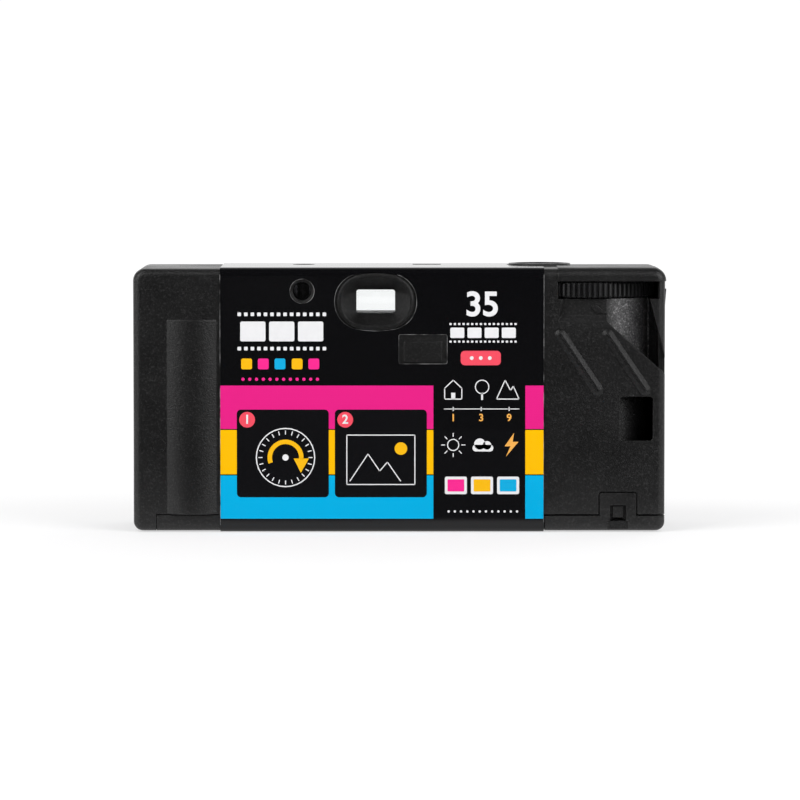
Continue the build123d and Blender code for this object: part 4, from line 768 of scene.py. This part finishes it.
# Film, cassette and winding train
# The film has a purplish grey base. It runs from a plain roll into a lacquered tin can
# with pressed ends. The roller, cams and levers are natural white nylon.
film_base = metal_sheet("film_base", (0.1, 0.055, 0.06), 0.25, 0, 300, (0.1, 1, 1))
for node in ("film_strip", "film_roll"):
    dress(node, film_base)
dress("cassette_shell", metal_sheet("lacquered_tin", (0.035, 0.035, 0.04), 0.3, 0.3, 500, (1, 1, 0.1)))
dress("cassette_caps", metal_sheet("pressed_tin", (0.3, 0.3, 0.32), 0.35, 0.9, 900, (1, 1, 1)))
nylon = metal_sheet("natural_nylon", (0.66, 0.66, 0.63), 0.5, 0, 500, (1, 1, 1))
for node in ("sprocket", "metering_cam", "metering_lever", "counter_wheel"):
    dress(node, nylon)


# Frame numbers
# Plain black numbers printed round the dial of the counter, one for every third
# picture, with a dot for each picture between.
dial_centre = (11.673, 3.13)
dial_top = 56.52
numbers_r = 6.0
most_left = 27
first_turn, turn_step = 155, 10
marks = []
for left in range(most_left, -1, -1):
    turn = math.radians(first_turn + (most_left - left) * turn_step)
    x = dial_centre[0] + numbers_r * math.cos(turn)
    y = dial_centre[1] + numbers_r * math.sin(turn)
    bpy.ops.object.select_all(action="DESELECT")
    if left % 3 == 0:
        bpy.ops.object.text_add(location=(0, 0, 0))
        mark = bpy.context.object
        mark.data.body = str(left)
        mark.data.align_x = "CENTER"
        mark.data.align_y = "CENTER"
        mark.data.size = 2.1 * mm
        bpy.ops.object.convert(target="MESH")
        mark = bpy.context.object
        mark.location = (x * mm, y * mm, dial_top * mm)
        mark.rotation_euler = (0, 0, turn - math.radians(first_turn))
    else:
        bpy.ops.mesh.primitive_circle_add(
            vertices=12, radius=0.22 * mm, fill_type="NGON", location=(x * mm, y * mm, dial_top * mm)
        )
        mark = bpy.context.object
    bpy.ops.object.transform_apply(location=True, rotation=True, scale=True)
    marks.append(mark)
dial_numbers = joined("dial_numbers", marks)
dial_numbers.data.materials.append(metal_sheet("number_ink", (0.02, 0.02, 0.02), 0.45, 0, 900, (1, 1, 1)))
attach(dial_numbers, "counter")


# Flash unit and cell
# A brown laminate board carries a sleeved capacitor and a small coil wound with
# lacquered wire. One plain-jacketed AA cell lies below it.
dress("flash_board", metal_sheet("board_laminate", (0.3, 0.17, 0.05), 0.5, 0, 260, (1, 1, 3)))
dress("flash_capacitor", metal_sheet("capacitor_sleeve", (0.02, 0.022, 0.03), 0.3, 0, 200, (1, 1, 0.2)))
dress("flash_transformer", metal_sheet("coil_lacquer", (0.4, 0.16, 0.05), 0.35, 0.5, 900, (0.1, 1, 1)))
dress("battery", metal_sheet("cell_jacket", (0.25, 0.26, 0.28), 0.3, 0.8, 300, (0.1, 1, 1)))


# Arrow in the thumb recess
# A low raised wedge on the facet under the wheel, moulded with the back cover. It points
# the way the thumb turns the wheel.
facet_depth = 1.34 * mm
arrow_height = 0.28 * mm
bpy.ops.object.select_all(action="DESELECT")
thumb_arrow = flat_shape([(42.5, 50.0), (43.7, 50.5), (46.2, 48.5), (43.8, 48.5)][::-1])
thumb_arrow.name = "thumb_arrow"
bpy.ops.object.mode_set(mode="EDIT")
bpy.ops.mesh.select_all(action="SELECT")
bpy.ops.transform.translate(value=(0, facet_depth, 0))
bpy.ops.mesh.extrude_region_move(TRANSFORM_OT_translate={"value": (0, -arrow_height, 0)})
bpy.ops.mesh.select_all(action="SELECT")
bpy.ops.mesh.normals_make_consistent(inside=False)
bpy.ops.object.mode_set(mode="OBJECT")
soften = thumb_arrow.modifiers.new("soften", "BEVEL")
soften.width = 0.08 * mm
soften.segments = 2
bpy.ops.object.modifier_apply(modifier="soften")
thumb_arrow.data.materials.append(cover_black)
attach(thumb_arrow, "camera")


# Thumb ridges
# Two slanted ridges below the recess give the thumb a hold. They are moulded with the
# back cover, with sloping flanks that catch the light from both sides.
ridge_x, ridge_z = (39.9, 50.4), 37.7
ridge_turn = math.radians(56)
flank_width, flank_height = 0.9 * mm, 0.72 * mm
ridges = []
for x in ridge_x:
    ridge = patch(x, ridge_z, 17.4, 2.6, corner=1.25, turn=ridge_turn)
    bpy.ops.object.mode_set(mode="EDIT")
    bpy.ops.mesh.select_all(action="SELECT")
    bpy.ops.transform.translate(value=(0, 0.4 * mm, 0))
    bpy.ops.mesh.extrude_region_move(TRANSFORM_OT_translate={"value": (0, -0.16 * mm, 0)})
    bpy.ops.mesh.inset(thickness=flank_width, depth=flank_height)
    bpy.ops.mesh.select_all(action="SELECT")
    bpy.ops.mesh.normals_make_consistent(inside=False)
    bpy.ops.object.mode_set(mode="OBJECT")
    ridges.append(ridge)
thumb_ridges = joined("thumb_ridges", ridges)
thumb_ridges.data.materials.append(cover_black)
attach(thumb_ridges, "camera")


# Ejector mark
# The faint round witness that the mould's pin left in the skin of the back cover, near
# the film roll.
bpy.ops.object.select_all(action="DESELECT")
bpy.ops.mesh.primitive_torus_add(
    major_segments=40, minor_segments=6, major_radius=1.42 * mm, minor_radius=0.07 * mm,
    location=(-53.2 * mm, -16.0 * mm, 19.2 * mm), rotation=(math.pi / 2, 0, 0),
)
ejector_mark = bpy.context.object
ejector_mark.name = "ejector_mark"
bpy.ops.object.transform_apply(location=True, rotation=True, scale=True)
bpy.ops.object.shade_smooth()
ejector_mark.data.materials.append(cover_black)
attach(ejector_mark, "camera")


# Grip texture under the door's tongue
# Five fine ribs in the channel where a nail opens the film door, moulded with the door.
first_rib, rib_pitch = 0.75, 0.4
bpy.ops.object.select_all(action="DESELECT")
nail_ribs = []
for n in range(5):
    rib_z = (first_rib + n * rib_pitch) * mm
    bpy.ops.mesh.primitive_cube_add(size=1, location=(48.6 * mm, -15.5 * mm, rib_z))
    rib = bpy.context.object
    rib.scale = (3.6 * mm, 0.24 * mm, 0.16 * mm)
    bpy.ops.object.transform_apply(location=True, rotation=True, scale=True)
    bpy.ops.object.mode_set(mode="EDIT")
    bpy.ops.mesh.select_all(action="SELECT")
    bpy.ops.mesh.bevel(affect="EDGES", offset=0.05 * mm, segments=2)
    bpy.ops.object.mode_set(mode="OBJECT")
    nail_ribs.append(rib)
nail_grip = joined("nail_grip", nail_ribs)
nail_grip.data.materials.append(cover_black)
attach(nail_grip, "door")
